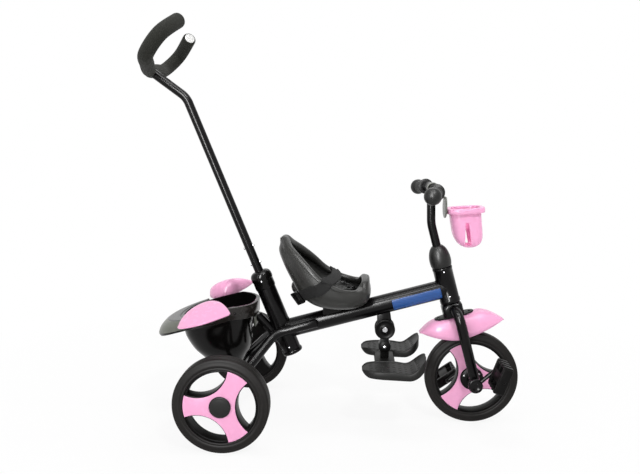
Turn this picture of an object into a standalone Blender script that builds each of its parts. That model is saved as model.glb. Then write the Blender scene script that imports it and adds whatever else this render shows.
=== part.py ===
"""Child's tricycle with a push handle: steel frame, moulded wheels, bucket seat, rear bin and folding footrest.

Metres, +X forward, +Y to the rider's left, +Z up. Everything is laid out with the rear axle at x = 0,
and the whole model is then shifted so that its origin is on the ground below the middle of its box.
"""

import math

import bmesh
import bpy
from mathutils import Matrix, Vector

# Clearances
GAP = 0.0003
RUN_GAP = 0.0005
SHELL_GAP = 0.0008

# Wheels
REAR_WHEEL_RADIUS = 0.105
FRONT_WHEEL_RADIUS = 0.110
REAR_TYRE_WIDTH = 0.040
FRONT_TYRE_WIDTH = 0.032
TYRE_DEPTH = 0.024
RIM_LIP = 0.0045
SPOKE_CUT_RADIUS = 0.0665
SPOKE_CUT_REACH = 0.1008
SPOKE_BORDER = 0.002
INSERT_THICKNESS = 0.002
HUB_CAP_RADIUS = 0.0236
HUB_CAP_DEPTH = 0.005
REAR_HUB_RADIUS = 0.018
FRONT_HUB_RADIUS = 0.027
REAR_SPOKE_ANGLE = math.radians(60)
FRONT_SPOKE_ANGLE = math.radians(111)
WHEELBASE = 0.565
REAR_TRACK = 0.400
AXLE_RADIUS = 0.005
AXLE_TUBE_RADIUS = 0.012
WALL = 0.0018

# Frame tubes
MAIN_TUBE_RADIUS = 0.0225
MAIN_TUBE_TILT = math.radians(15.4)
HEAD_TUBE_RADIUS = 0.0227
SOCKET_RADIUS = 0.0225
SOCKET_LEAN = math.radians(22.24)
SOCKET_CROSS_X = 0.1144
SOCKET_ABOVE = 0.1445
SOCKET_BELOW = 0.052
STAY_RADIUS = 0.011
STAY_RAISE = 0.0035
STAY_START = 0.083
STAY_CORNER_X = 0.100
STAY_END_Y = 0.150
STAY_BEND_RADIUS = 0.060
BIN_TUBE_RADIUS = 0.0107
COLLAR_RADIUS = 0.0248
COLLAR_LENGTH = 0.043
COLLAR_CAP = 0.0083
END_CAP_RADIUS = 0.0235
END_CAP_DEPTH = 0.010

# Steering
RAKE = math.radians(15.1)
FORK_OFFSET = 0.004
HEAD_LOW = 0.1885
HEAD_HIGH = 0.2752
HEAD_JOINT = 0.2234
STEERER_RADIUS = 0.0125
STEM_RADIUS = 0.0100
CROWN_HALF_WIDTH = 0.0245
CROWN_LOW = 0.158
LEG_RADIUS = 0.011
LEG_SPREAD = 0.050
LEG_TOP_FORWARD = 0.013
LEG_FOOT_FORWARD = 0.007
LEG_BEND_RADIUS = 0.020
COVER_RADIUS = 0.0252
COVER_HEIGHT = 0.0520
BAR_RADIUS = 0.011
BAR_X = 0.4635
BAR_Z = 0.5595
BAR_STRAIGHT = 0.088
BAR_SWEEP = 0.0195
BAR_DROP = 0.0065
BAR_END = 0.080
GRIP_START = 0.018
GRIP_LENGTH = 0.080
GRIP_RADIUS = 0.0148
KNOB_RADIUS = 0.0190

# Fender
FENDER_TOP = 0.1550
FENDER_HALF_WIDTH = 0.0365
FENDER_REAR = 0.0882
FENDER_FRONT = 0.1093
FENDER_REAR_TIP = 0.1348
FENDER_FRONT_TIP = 0.1192
FENDER_SIDE_LOW = 0.1035
FENDER_SHEET = 0.0026
PLATE_LENGTH = 0.094
PLATE_WIDTH = 0.044
PLATE_THICKNESS = 0.0024

# Front basket
BASKET_X = 0.5385
BASKET_Z = 0.5165
BASKET_TILT = math.radians(4)
BASKET_LENGTH = 0.088
BASKET_WIDTH = 0.084
BASKET_DEPTH = 0.093
BASKET_WALL = 0.0026
BASKET_RIM = 0.012
BRACKET_THICKNESS = 0.003
BRACKET_HALF_WIDTH = 0.032
BRACKET_TOP_Z = 0.541
BRACKET_LOW_Z = 0.491

# Crank and pedals
CRANK_LENGTH = 0.060
CRANK_ANGLE = math.radians(41)
CRANK_ROD_RADIUS = 0.005
CRANK_PLANE = 0.0695
CRANK_BOSS_RADIUS = 0.0165
CRANK_BOSS_LENGTH = 0.011
CRANK_BEND_RADIUS = 0.0055
PEDAL_INNER = 0.081
PEDAL_WIDTH = 0.072
PEDAL_LENGTH = 0.064
PEDAL_HEIGHT = 0.022
NEAR_PEDAL_ANGLE = math.radians(70)
FAR_PEDAL_ANGLE = math.radians(35)

# Seat
SEAT_THICKNESS = 0.005
SEAT_MOUNT_X = 0.232
SEAT_MOUNT_LENGTH = 0.044
SEAT_MOUNT_TOP = 0.2835
SEAT_BED_GAP = 0.0012
SEAT_HEEL = (0.1530, 0, 0.3235)
SEAT_HEEL_WAY = (-0.97, 0, -0.24)
BELT_WIDTH = 0.026
BELT_THICKNESS = 0.0022
BELT_GAP = 0.0025
BUCKLE_LENGTH = 0.034
BUCKLE_WIDTH = 0.036
BUCKLE_THICKNESS = 0.011

# Footrest
FOOTREST_X = 0.3577
FOOTREST_PIVOT_Z = 0.2243
FOOTREST_DISC_RADIUS = 0.024
FOOTREST_EAR = 0.008
FOOTREST_CHEEK = 0.007
FOOTREST_STRUT_WIDTH = 0.020
FOOTREST_BOLT_RADIUS = 0.004
FOOTREST_KNUCKLE_Z = 0.1822
FOOTREST_BRIDGE_TOP = 0.1560
FOOTREST_BRIDGE_THICKNESS = 0.013
FOOTREST_BRIDGE_LENGTH = 0.060
FOOTPLATE_INNER = 0.042
FOOTPLATE_OUTER = 0.132
FOOTPLATE_REAR = 0.303
FOOTPLATE_FRONT = 0.447
FOOTPLATE_LOW = 0.1415
FOOTPLATE_THICKNESS = 0.0165
FOOTPLATE_CURL = 0.024

# Rear bin and wings
BIN_X = -0.037
BIN_Z = 0.2797
BIN_LEVEL_X = 0.003
BIN_TILT = math.radians(15)
BIN_HALF_LENGTH = 0.0925
BIN_HALF_WIDTH = 0.092
BIN_RIM_HEIGHT = 0.030
BIN_RIM_OUT = 0.006
BIN_FLOOR_Z = 0.142
BIN_FLOOR_RADIUS = 0.043
BIN_WALL = 0.003
BIN_SHAPE = 2.6
BIN_PLATE_X = 0.0475
WING_REAR_X = -0.0950
WING_FRONT_X = 0.0155
WING_TIP_Y = 0.177
WING_HALF_WIDTH = 0.034
WING_CROWN = 0.029
WING_RAISE = 0.0035
WING_SHEET = 0.003
LIP_X = -0.050
LIP_HALF_LENGTH = 0.104
LIP_HALF_WIDTH = 0.110
LIP_HEIGHT = 0.035
LIP_FLARE_BACK = 0.048
LIP_FLARE_OUT = 0.009
LIP_SIDE_RISE = 0.42
LIP_FRONT_X = -0.088
LIP_WALL = 0.005

# Push handle
POLE_RADIUS = 0.0104
POLE_LENGTH = 0.440
POLE_INSERT = 0.170
POLE_BEND_RADIUS = 0.050
POLE_HEAD_LENGTH = 0.1046
POLE_HEAD_RISE = math.radians(36.1)
HANDLE_YAW = math.radians(8.4)
HANDLE_TILT = math.radians(48.4)
HANDLE_STEPS = 8
FOAM_RADIUS = 0.0165
FOAM_BORE = POLE_RADIUS + 0.0008
BUTTON_RADIUS = 0.0027
BUTTON_HEIGHT = 0.0035
BUTTON_LOW = 0.021
BUTTON_PITCH = 0.042

ROUND_SIDES = 16

UP = Vector((0, 0, 1))
LEFT = Vector((0, 1, 0))


# Materials

def srgb(red, green, blue):
    def linear(value):
        value /= 255
        return value / 12.92 if value <= 0.04045 else ((value + 0.055) / 1.055) ** 2.4

    return linear(red), linear(green), linear(blue), 1.0


def make_material(name, colour, roughness, metallic=0.0):
    material = bpy.data.materials.new(name)
    material.use_nodes = True
    shader = material.node_tree.nodes["Principled BSDF"]
    shader.inputs["Base Color"].default_value = colour
    shader.inputs["Roughness"].default_value = roughness
    shader.inputs["Metallic"].default_value = metallic
    material.diffuse_color = colour
    return material


# Building blocks

def clear_scene():
    for item in list(bpy.data.objects):
        bpy.data.objects.remove(item, do_unlink=True)


def make_group(name, place, parent=None):
    """An empty on a joint's axis. Its children are modelled round it."""
    empty = bpy.data.objects.new(name, None)
    empty.empty_display_size = 0.03
    bpy.context.scene.collection.objects.link(empty)
    empty.parent = parent
    empty.location = Vector(place) - world_place(parent)
    return empty


def world_place(empty):
    place = Vector((0, 0, 0))
    while empty is not None:
        place += empty.location
        empty = empty.parent
    return place


def add(name, bm, material, group, smooth=35):
    """Turns a bmesh laid out in the shared frame into a named object under its group."""
    bmesh.ops.remove_doubles(bm, verts=bm.verts, dist=1e-7)
    bmesh.ops.recalc_face_normals(bm, faces=bm.faces)
    bmesh.ops.translate(bm, vec=-world_place(group), verts=bm.verts)
    mesh = bpy.data.meshes.new(name)
    bm.to_mesh(mesh)
    bm.free()
    mesh.shade_smooth()
    mesh.set_sharp_from_angle(angle=math.radians(smooth))
    mesh.materials.append(material)
    item = bpy.data.objects.new(name, mesh)
    bpy.context.scene.collection.objects.link(item)
    item.parent = group
    return item


def add_cutter(name, bm, group, steel):
    item = add(name, bm, steel, group)
    item.hide_render = True
    item.hide_viewport = False
    item.display_type = "WIRE"
    return item


def boolean(item, tool, operation="DIFFERENCE"):
    modifier = item.modifiers.new(tool.name, "BOOLEAN")
    modifier.operation = operation
    modifier.object = tool
    modifier.solver = "EXACT"


def bevel(item, width, segments=2, angle=40):
    modifier = item.modifiers.new("bevel", "BEVEL")
    modifier.width = width
    modifier.segments = segments
    modifier.limit_method = "ANGLE"
    modifier.angle_limit = math.radians(angle)


def loft(rings, closed=False):
    """Skins the rings in order. An open loft gets a face over each end, and a closed one joins end to start."""
    bm = bmesh.new()
    loops = [[bm.verts.new(point) for point in ring] for ring in rings]
    following = loops[1:] + loops[:1] if closed else loops[1:]
    for first, second in zip(loops, following):
        for i in range(len(first)):
            bm.faces.new((first[i - 1], first[i], second[i], second[i - 1]))
    if not closed:
        bm.faces.new(loops[0])
        bm.faces.new(loops[-1])
    return bm


def circle(centre, across, along, radius, sides=ROUND_SIDES):
    """Points round a circle whose flats touch the radius half way between corners."""
    corner = radius / math.cos(math.pi / sides)
    turns = [2 * math.pi * (i + 0.5) / sides for i in range(sides)]
    return [centre + corner * (math.cos(t) * across + math.sin(t) * along) for t in turns]


def oval(centre, across, along, half_across, half_along, shape=2.0, sides=32):
    """Points round a superellipse. A shape of 2 is an ellipse, and more is squarer."""
    points = []
    for i in range(sides):
        turn = 2 * math.pi * i / sides
        c, s = math.cos(turn), math.sin(turn)
        a = math.copysign(abs(c) ** (2 / shape), c) * half_across
        b = math.copysign(abs(s) ** (2 / shape), s) * half_along
        points.append(centre + a * across + b * along)
    return points


def side_axes(direction, hint=LEFT):
    """Two directions square to this one and to each other."""
    direction = direction.normalized()
    across = hint - hint.dot(direction) * direction
    if across.length < 0.1:
        across = UP - UP.dot(direction) * direction
    across.normalize()
    return across, direction.cross(across)


def rounded_path(corners, radius, steps=5):
    """The corners joined by straight runs, each inner corner turned into an arc of this radius."""
    corners = [Vector(corner) for corner in corners]
    path = [corners[0]]
    for before, corner, after in zip(corners, corners[1:], corners[2:]):
        into = (before - corner).normalized()
        out = (after - corner).normalized()
        half = into.angle(out) / 2
        reach = radius / math.tan(half)
        centre = corner + (into + out).normalized() * radius / math.sin(half)
        start = corner + into * reach - centre
        end = corner + out * reach - centre
        for i in range(steps + 1):
            path.append(centre + start.slerp(end, i / steps).normalized() * radius)
    path.append(corners[-1])
    return path


def tangents(path):
    """The direction at each point of a path, halving the turn at each inner point."""
    runs = [(b - a).normalized() for a, b in zip(path, path[1:])]
    inner = [(a + b).normalized() for a, b in zip(runs, runs[1:])]
    return [runs[0]] + inner + [runs[-1]]


def path_frames(path, hint=LEFT):
    """Each point with two directions square to the path, turned as little as can be from one to the next."""
    frames = []
    across = None
    for point, tangent in zip(path, tangents(path)):
        if across is None:
            across = side_axes(tangent, hint)[0]
        across = (across - across.dot(tangent) * tangent).normalized()
        frames.append((point, across, tangent.cross(across)))
    return frames


def tube(path, radius, wall=0.0, sides=ROUND_SIDES, hint=LEFT):
    """A round bar along a path, or a pipe open at both ends where it has a wall."""
    path = [Vector(point) for point in path]
    frames = path_frames(path, hint)
    outer = [circle(point, across, along, radius, sides) for point, across, along in frames]
    if not wall:
        return loft(outer)
    inner = [circle(point, across, along, radius - wall, sides) for point, across, along in frames]
    return loft(outer + inner[::-1], closed=True)


def turned(profile, origin, axis, sides=32, hint=LEFT):
    """Spins a closed outline of (radius, height) points round an axis. A radius of 0 stays on the axis."""
    axis = axis.normalized()
    across, _ = side_axes(axis, hint)
    bm = bmesh.new()
    verts = [bm.verts.new(origin + radius * across + height * axis) for radius, height in profile]
    edges = [bm.edges.new((verts[i - 1], verts[i])) for i in range(len(verts))
             if max(profile[i - 1][0], profile[i][0]) > 1e-6]
    half_step = Matrix.Rotation(math.pi / sides, 3, axis)
    bmesh.ops.rotate(bm, cent=origin, matrix=half_step, verts=bm.verts)
    bmesh.ops.spin(bm, geom=verts + edges, cent=origin, axis=axis, angle=2 * math.pi, steps=sides, use_merge=True)
    bmesh.ops.remove_doubles(bm, verts=bm.verts, dist=1e-6)
    return bm


def prism(outline, depth):
    """A flat outline pushed along a vector."""
    bm = bmesh.new()
    face = bm.faces.new([bm.verts.new(point) for point in outline])
    pushed = bmesh.ops.extrude_face_region(bm, geom=[face])["geom"]
    bmesh.ops.translate(bm, vec=depth, verts=[v for v in pushed if isinstance(v, bmesh.types.BMVert)])
    return bm


def block(low, high):
    bm = bmesh.new()
    bmesh.ops.create_cube(bm, size=1.0)
    low, high = Vector(low), Vector(high)
    bmesh.ops.scale(bm, vec=high - low, verts=bm.verts)
    bmesh.ops.translate(bm, vec=(low + high) / 2, verts=bm.verts)
    return bm


def sheet(rows):
    """An open skin through rows of points."""
    bm = bmesh.new()
    verts = [[bm.verts.new(point) for point in row] for row in rows]
    for upper, lower in zip(verts, verts[1:]):
        for i in range(len(upper) - 1):
            bm.faces.new((upper[i], upper[i + 1], lower[i + 1], lower[i]))
    return bm


def thicken(item, thickness, offset=0.0):
    modifier = item.modifiers.new("wall", "SOLIDIFY")
    modifier.thickness = thickness
    modifier.offset = offset
    modifier.use_even_offset = True


def smooth_value(stations, t):
    """A smooth curve through evenly spaced stations, read at t from 0 to 1."""
    last = len(stations) - 1
    place = min(max(t, 0.0), 1.0) * last
    i = min(int(place), last - 1)
    f = place - i
    p0, p1, p2, p3 = (stations[min(max(j, 0), last)] for j in (i - 1, i, i + 1, i + 2))
    return 0.5 * (2 * p1 + (p2 - p0) * f + (2 * p0 - 5 * p1 + 4 * p2 - p3) * f ** 2
                  + (3 * p1 - 3 * p2 + p3 - p0) * f ** 3)


# Places worked out from the driving sizes

STEER_UP = Vector((-math.sin(RAKE), 0, math.cos(RAKE)))
STEER_AHEAD = Vector((math.cos(RAKE), 0, math.sin(RAKE)))
FRONT_AXLE = Vector((WHEELBASE, 0, FRONT_WHEEL_RADIUS))
STEER_FOOT = FRONT_AXLE - FORK_OFFSET * STEER_AHEAD
MAIN_AHEAD = Vector((math.cos(MAIN_TUBE_TILT), 0, math.sin(MAIN_TUBE_TILT)))
MAIN_UP = Vector((-math.sin(MAIN_TUBE_TILT), 0, math.cos(MAIN_TUBE_TILT)))
SOCKET_UP = Vector((-math.sin(SOCKET_LEAN), 0, math.cos(SOCKET_LEAN)))


def steer(ahead, left, height):
    """A point given in the fork's own directions, from the foot of the steering axis."""
    return STEER_FOOT + ahead * STEER_AHEAD + left * LEFT + height * STEER_UP


HEAD_CROSS = steer(0, 0, HEAD_JOINT)


def main_axis(x):
    return HEAD_CROSS + MAIN_AHEAD * ((x - HEAD_CROSS.x) / MAIN_AHEAD.x)


SOCKET_CROSS = main_axis(SOCKET_CROSS_X)
SOCKET_TOP = SOCKET_CROSS + SOCKET_UP * SOCKET_ABOVE
SOCKET_BOTTOM = SOCKET_CROSS - SOCKET_UP * SOCKET_BELOW
COLLAR_TOP = SOCKET_TOP + SOCKET_UP * COLLAR_CAP


# Wheels

def lens(centre, angle, ring_radius, cut_radius, reach, steps=3):
    """One opening between two spokes, in the wheel's plane: inside the ring and inside a circle off to one side."""
    half = math.acos((ring_radius ** 2 + reach ** 2 - cut_radius ** 2) / (2 * ring_radius * reach))
    near = math.atan2(ring_radius * math.sin(half), reach - ring_radius * math.cos(half))
    points = []
    for i in range(steps * 2):
        turn = -half + 2 * half * i / (steps * 2)
        points.append((ring_radius * math.cos(turn), ring_radius * math.sin(turn)))
    for i in range(steps * 2):
        turn = near - 2 * near * i / (steps * 2)
        points.append((reach - cut_radius * math.cos(turn), cut_radius * math.sin(turn)))
    return [wheel_point(centre, *turn_point(x, z, angle)) for x, z in points]


def turn_point(x, z, angle):
    c, s = math.cos(angle), math.sin(angle)
    return c * x - s * z, s * x + c * z


def wheel_point(centre, x, z):
    return centre + Vector((x, 0, z))


def spoke_plate(centre, angle, radius, cut_radius, reach, steps=4):
    """Outline of the three-spoked cover: arcs on the ring joined by the openings' arcs."""
    half = math.acos((radius ** 2 + reach ** 2 - cut_radius ** 2) / (2 * radius * reach))
    near = math.atan2(radius * math.sin(half), reach - radius * math.cos(half))
    outline = []
    for spoke in range(3):
        middle = angle + spoke * 2 * math.pi / 3
        width = math.pi / 3 - half
        for i in range(steps):
            turn = middle - width + 2 * width * i / (steps - 1)
            outline.append(wheel_point(centre, radius * math.cos(turn), radius * math.sin(turn)))
        opening = middle + math.pi / 3
        for i in range(1, steps * 2):
            turn = -near + 2 * near * i / (steps * 2)
            x, z = reach - cut_radius * math.cos(turn), cut_radius * math.sin(turn)
            outline.append(wheel_point(centre, *turn_point(x, z, opening)))
    return outline


def make_tyre(name, centre, radius, width, material, group):
    inner = radius - TYRE_DEPTH
    half = width / 2
    shoulder = min(0.3 * width, 0.011)
    profile = [(inner, -half), (radius - shoulder, -half), (radius - shoulder * 0.3, -half + shoulder * 0.35),
               (radius, -half + shoulder), (radius, half - shoulder), (radius - shoulder * 0.3, half - shoulder * 0.35),
               (radius - shoulder, half), (inner, half)]
    return add(name, turned(corner_radii(profile, 32), centre, LEFT, sides=32, hint=-UP), material, group, smooth=30)


def corner_radii(profile, sides):
    """Turned flats touch each radius half way between corners, so corners stand a little further out."""
    return [(radius / math.cos(math.pi / sides), height) for radius, height in profile]


def make_rim(name, centre, radius, width, spoke_angle, hub, hub_reach, bore, material, group, steel):
    """Moulded wheel: a ring under the tyre, three spokes and a bored hub. hub_reach gives its two ends along +Y."""
    outer = radius - TYRE_DEPTH - GAP
    half = width / 2 - 0.003
    bore /= math.cos(math.pi / 24)
    profile = [(bore, hub_reach[0]), (hub, hub_reach[0]), (hub, -half), (outer, -half),
               (outer, half), (hub, half), (hub, hub_reach[1]), (bore, hub_reach[1])]
    rim = add(name, turned(profile, centre, LEFT, sides=24, hint=-UP), material, group)
    for opening in range(3):
        angle = spoke_angle + math.pi / 3 + opening * 2 * math.pi / 3
        outline = lens(centre - LEFT * width, angle, outer - RIM_LIP, SPOKE_CUT_RADIUS, SPOKE_CUT_REACH)
        tool = add_cutter(f"{name}_opening_{opening}", prism(outline, LEFT * 2 * width), group, steel)
        boolean(rim, tool)
    return rim


def make_insert(name, centre, face_y, outward, radius, spoke_angle, bore, material, group, steel):
    """The coloured three-spoked cover that clips on a rim's outer side."""
    plate_radius = radius - TYRE_DEPTH - RUN_GAP
    base = centre + LEFT * face_y
    outline = spoke_plate(base, spoke_angle, plate_radius, SPOKE_CUT_RADIUS + SPOKE_BORDER, SPOKE_CUT_REACH)
    plate = add(name, prism(outline, LEFT * outward * INSERT_THICKNESS), material, group)
    hole = tube([base - LEFT * 0.02, base + LEFT * 0.02], bore, sides=20, hint=-UP)
    boolean(plate, add_cutter(name + "_hole", hole, group, steel))
    return plate


def make_rear_wheel(side, sign, group, looks):
    centre = Vector((0, sign * REAR_TRACK / 2, REAR_WHEEL_RADIUS))
    half = REAR_TYRE_WIDTH / 2
    face = sign * (half - 0.003 + GAP)
    hub_in = -sign * (half + 0.004)
    hub_out = sign * (half - 0.003)
    reach = sorted((hub_in, hub_out))
    make_tyre(f"{side}_rear_tyre", centre, REAR_WHEEL_RADIUS, REAR_TYRE_WIDTH, looks["tyre"], group)
    make_rim(f"{side}_rear_rim", centre, REAR_WHEEL_RADIUS, REAR_TYRE_WIDTH, REAR_SPOKE_ANGLE, REAR_HUB_RADIUS,
             reach, AXLE_RADIUS + GAP, looks["black_plastic"], group, looks["steel"])
    make_insert(f"{side}_rear_insert", centre, face, sign, REAR_WHEEL_RADIUS, REAR_SPOKE_ANGLE,
                AXLE_RADIUS + 3 * GAP, looks["pink"], group, looks["steel"])
    start = face + sign * (INSERT_THICKNESS + GAP)
    profile = [(0, start), (HUB_CAP_RADIUS, start), (HUB_CAP_RADIUS, start + sign * HUB_CAP_DEPTH * 0.45),
               (HUB_CAP_RADIUS * 0.86, start + sign * HUB_CAP_DEPTH * 0.9), (0, start + sign * HUB_CAP_DEPTH)]
    add(f"{side}_hub_cap", turned(profile, centre, LEFT, sides=20), looks["dark_plastic"], group)


def make_front_wheel(group, looks):
    centre = FRONT_AXLE
    half = FRONT_TYRE_WIDTH / 2
    make_tyre("front_tyre", centre, FRONT_WHEEL_RADIUS, FRONT_TYRE_WIDTH, looks["tyre"], group)
    hub_end = half + 0.0065
    make_rim("front_rim", centre, FRONT_WHEEL_RADIUS, FRONT_TYRE_WIDTH, FRONT_SPOKE_ANGLE, FRONT_HUB_RADIUS,
             (-hub_end, hub_end), CRANK_ROD_RADIUS + GAP, looks["black_plastic"], group, looks["steel"])
    for side, sign in (("right", -1), ("left", 1)):
        make_insert(f"front_{side}_insert", centre, sign * (half - 0.003 + GAP), sign, FRONT_WHEEL_RADIUS,
                    FRONT_SPOKE_ANGLE, FRONT_HUB_RADIUS + GAP, looks["pink"], group, looks["steel"])


def crank_end(sign):
    """The pedal spindle's centre, on the near side (-1) ahead and up, on the far side opposite."""
    throw = Vector((math.cos(CRANK_ANGLE), 0, math.sin(CRANK_ANGLE))) * CRANK_LENGTH * -sign
    return FRONT_AXLE + throw


def make_crank(group, looks):
    near, far = crank_end(-1), crank_end(1)
    spindle_end = PEDAL_INNER + PEDAL_WIDTH - 0.004
    corners = [near - LEFT * spindle_end, near - LEFT * CRANK_PLANE, FRONT_AXLE - LEFT * CRANK_PLANE,
               FRONT_AXLE + LEFT * CRANK_PLANE, far + LEFT * CRANK_PLANE, far + LEFT * spindle_end]
    rod = tube(rounded_path(corners, CRANK_BEND_RADIUS, 2), CRANK_ROD_RADIUS, sides=12)
    crank = add("pedal_crank", rod, looks["steel"], group)
    for side, sign in (("right", -1), ("left", 1)):
        inner = LEFT * sign * (CRANK_PLANE - CRANK_BOSS_LENGTH / 2)
        outer = LEFT * sign * (CRANK_PLANE + CRANK_BOSS_LENGTH / 2)
        boss = tube([FRONT_AXLE + inner, FRONT_AXLE + outer], CRANK_BOSS_RADIUS, sides=16)
        boolean(crank, add_cutter(f"crank_boss_{side}", boss, group, looks["steel"]), "UNION")


def make_pedal(side, sign, angle, group, looks):
    """A moulded block pedal with two windows, treads along both edges and a bore for the spindle."""
    centre = crank_end(sign)
    low_y, high_y = sorted((sign * PEDAL_INNER, sign * (PEDAL_INNER + PEDAL_WIDTH)))
    pedal = add(f"{side}_pedal", block((-PEDAL_LENGTH / 2, low_y, -PEDAL_HEIGHT / 2),
                                       (PEDAL_LENGTH / 2, high_y, PEDAL_HEIGHT / 2)), looks["black_plastic"], None)
    place_turned(pedal, centre, angle, group)
    bevel(pedal, 0.0045, 1)
    tools = []
    window_low, window_high = low_y + 0.009, high_y - 0.009
    for edge in (-1, 1):
        near_x, far_x = sorted((edge * 0.0115, edge * (PEDAL_LENGTH / 2 - 0.0075)))
        tools.append(block((near_x, window_low, -PEDAL_HEIGHT), (far_x, window_high, PEDAL_HEIGHT)))
        for notch in range(3):
            middle = low_y + PEDAL_WIDTH * (notch + 0.5) / 3
            near_x, far_x = sorted((edge * (PEDAL_LENGTH / 2 - 0.0025), edge * PEDAL_LENGTH))
            tools.append(block((near_x, middle - 0.006, -PEDAL_HEIGHT), (far_x, middle + 0.006, PEDAL_HEIGHT)))
    bore_start, bore_end = sign * (PEDAL_INNER - 0.01), sign * (PEDAL_INNER + PEDAL_WIDTH - 0.003)
    tools.append(tube([LEFT * bore_start, LEFT * bore_end], CRANK_ROD_RADIUS + RUN_GAP, sides=10))
    for index, bm in enumerate(tools):
        tool = add_cutter(f"{side}_pedal_cut_{index}", bm, None, looks["steel"])
        place_turned(tool, centre, angle, group)
        boolean(pedal, tool)


def place_turned(item, centre, angle, group):
    """Puts an object modelled at the origin in its place, turned about its own +Y."""
    item.parent = group
    item.location = centre - world_place(group)
    item.rotation_euler = (0, -angle, 0)


# Frame

def make_frame(group, looks):
    paint = looks["black_paint"]
    steel = looks["steel"]
    head_cut = tube([steer(0, 0, HEAD_LOW - 0.02), steer(0, 0, HEAD_HIGH + 0.02)], HEAD_TUBE_RADIUS + GAP, sides=24)
    head_cutter = add_cutter("head_cope", head_cut, group, steel)
    socket_cut = tube([SOCKET_BOTTOM - SOCKET_UP * 0.02, SOCKET_TOP + SOCKET_UP * 0.02], SOCKET_RADIUS + GAP, sides=24)
    socket_cutter = add_cutter("socket_cope", socket_cut, group, steel)

    main = add("main_tube", tube([SOCKET_CROSS, HEAD_CROSS], MAIN_TUBE_RADIUS, WALL, sides=20), paint, group)
    boolean(main, head_cutter)
    boolean(main, socket_cutter)

    add("socket_tube", tube([SOCKET_BOTTOM, SOCKET_TOP], SOCKET_RADIUS, WALL, sides=24), paint, group)
    add("head_tube", tube([steer(0, 0, HEAD_LOW), steer(0, 0, HEAD_HIGH)], HEAD_TUBE_RADIUS, 0.0055, sides=24),
        paint, group)
    make_collar(group, looks)
    make_end_cap(group, looks)

    axle_tube_half = REAR_TRACK / 2 - REAR_TYRE_WIDTH / 2 - 0.004 - RUN_GAP
    axle = Vector((0, 0, REAR_WHEEL_RADIUS))
    ends = [axle - LEFT * axle_tube_half, axle + LEFT * axle_tube_half]
    add("rear_axle_tube", tube(ends, AXLE_TUBE_RADIUS, AXLE_TUBE_RADIUS - AXLE_RADIUS - GAP, sides=16), paint, group)
    rod_half = REAR_TRACK / 2 + REAR_TYRE_WIDTH / 2 - 0.003
    add("rear_axle", tube([axle - LEFT * rod_half, axle + LEFT * rod_half], AXLE_RADIUS, sides=16), steel, group)

    axle_cut = tube([axle - LEFT * REAR_TRACK, axle + LEFT * REAR_TRACK], AXLE_TUBE_RADIUS + GAP, sides=16)
    axle_cutter = add_cutter("axle_cope", axle_cut, group, steel)
    beside = MAIN_TUBE_RADIUS + STAY_RADIUS + GAP
    for side, sign in (("right", -1), ("left", 1)):
        offset = LEFT * sign * beside + MAIN_UP * STAY_RAISE
        start = main_axis(SOCKET_CROSS_X + STAY_START) + offset
        corner = main_axis(STAY_CORNER_X) + offset
        end = axle + LEFT * sign * STAY_END_Y
        path = rounded_path([start, corner, end], STAY_BEND_RADIUS, 4)
        stay = add(f"{side}_stay", tube(path, STAY_RADIUS, WALL, sides=12, hint=MAIN_UP), paint, group)
        boolean(stay, axle_cutter)

    make_head_bushes(group, looks)


def make_collar(group, looks):
    """Plastic cap over the socket's mouth, bored for the push pole."""
    bore = POLE_RADIUS + RUN_GAP
    sleeve = SOCKET_RADIUS + GAP
    cap = (COLLAR_TOP - SOCKET_TOP).length - GAP
    profile = [(bore, 0), (COLLAR_RADIUS - 0.007, 0), (COLLAR_RADIUS - 0.002, -0.003), (COLLAR_RADIUS, -0.008),
               (COLLAR_RADIUS, -COLLAR_LENGTH + 0.004), (COLLAR_RADIUS - 0.0008, -COLLAR_LENGTH),
               (sleeve, -COLLAR_LENGTH), (sleeve, -cap), (bore, -cap)]
    add("socket_collar", turned(profile, COLLAR_TOP, SOCKET_UP, sides=24), looks["black_plastic"], group)


def make_end_cap(group, looks):
    plug = SOCKET_RADIUS - WALL - GAP
    profile = [(0, 0.014), (plug - 0.001, 0.014), (plug, 0.012), (plug, -GAP), (END_CAP_RADIUS, -GAP),
               (END_CAP_RADIUS, -END_CAP_DEPTH + 0.003), (END_CAP_RADIUS - 0.003, -END_CAP_DEPTH),
               (0, -END_CAP_DEPTH)]
    add("socket_end_cap", turned(profile, SOCKET_BOTTOM, SOCKET_UP, sides=24), looks["black_plastic"], group)


def make_head_bushes(group, looks):
    """Two nylon bushes between the head tube and the steerer."""
    inner = STEERER_RADIUS + RUN_GAP
    outer = HEAD_TUBE_RADIUS - 0.0055 - GAP
    for name, low, high in (("lower_head_bush", HEAD_LOW, HEAD_LOW + 0.014),
                            ("upper_head_bush", HEAD_HIGH - 0.014, HEAD_HIGH)):
        profile = [(inner, low), (outer, low), (outer, high), (inner, high)]
        add(name, turned(profile, STEER_FOOT, STEER_UP, sides=20), looks["black_plastic"], group)


# Fork, fender, handlebar

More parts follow.
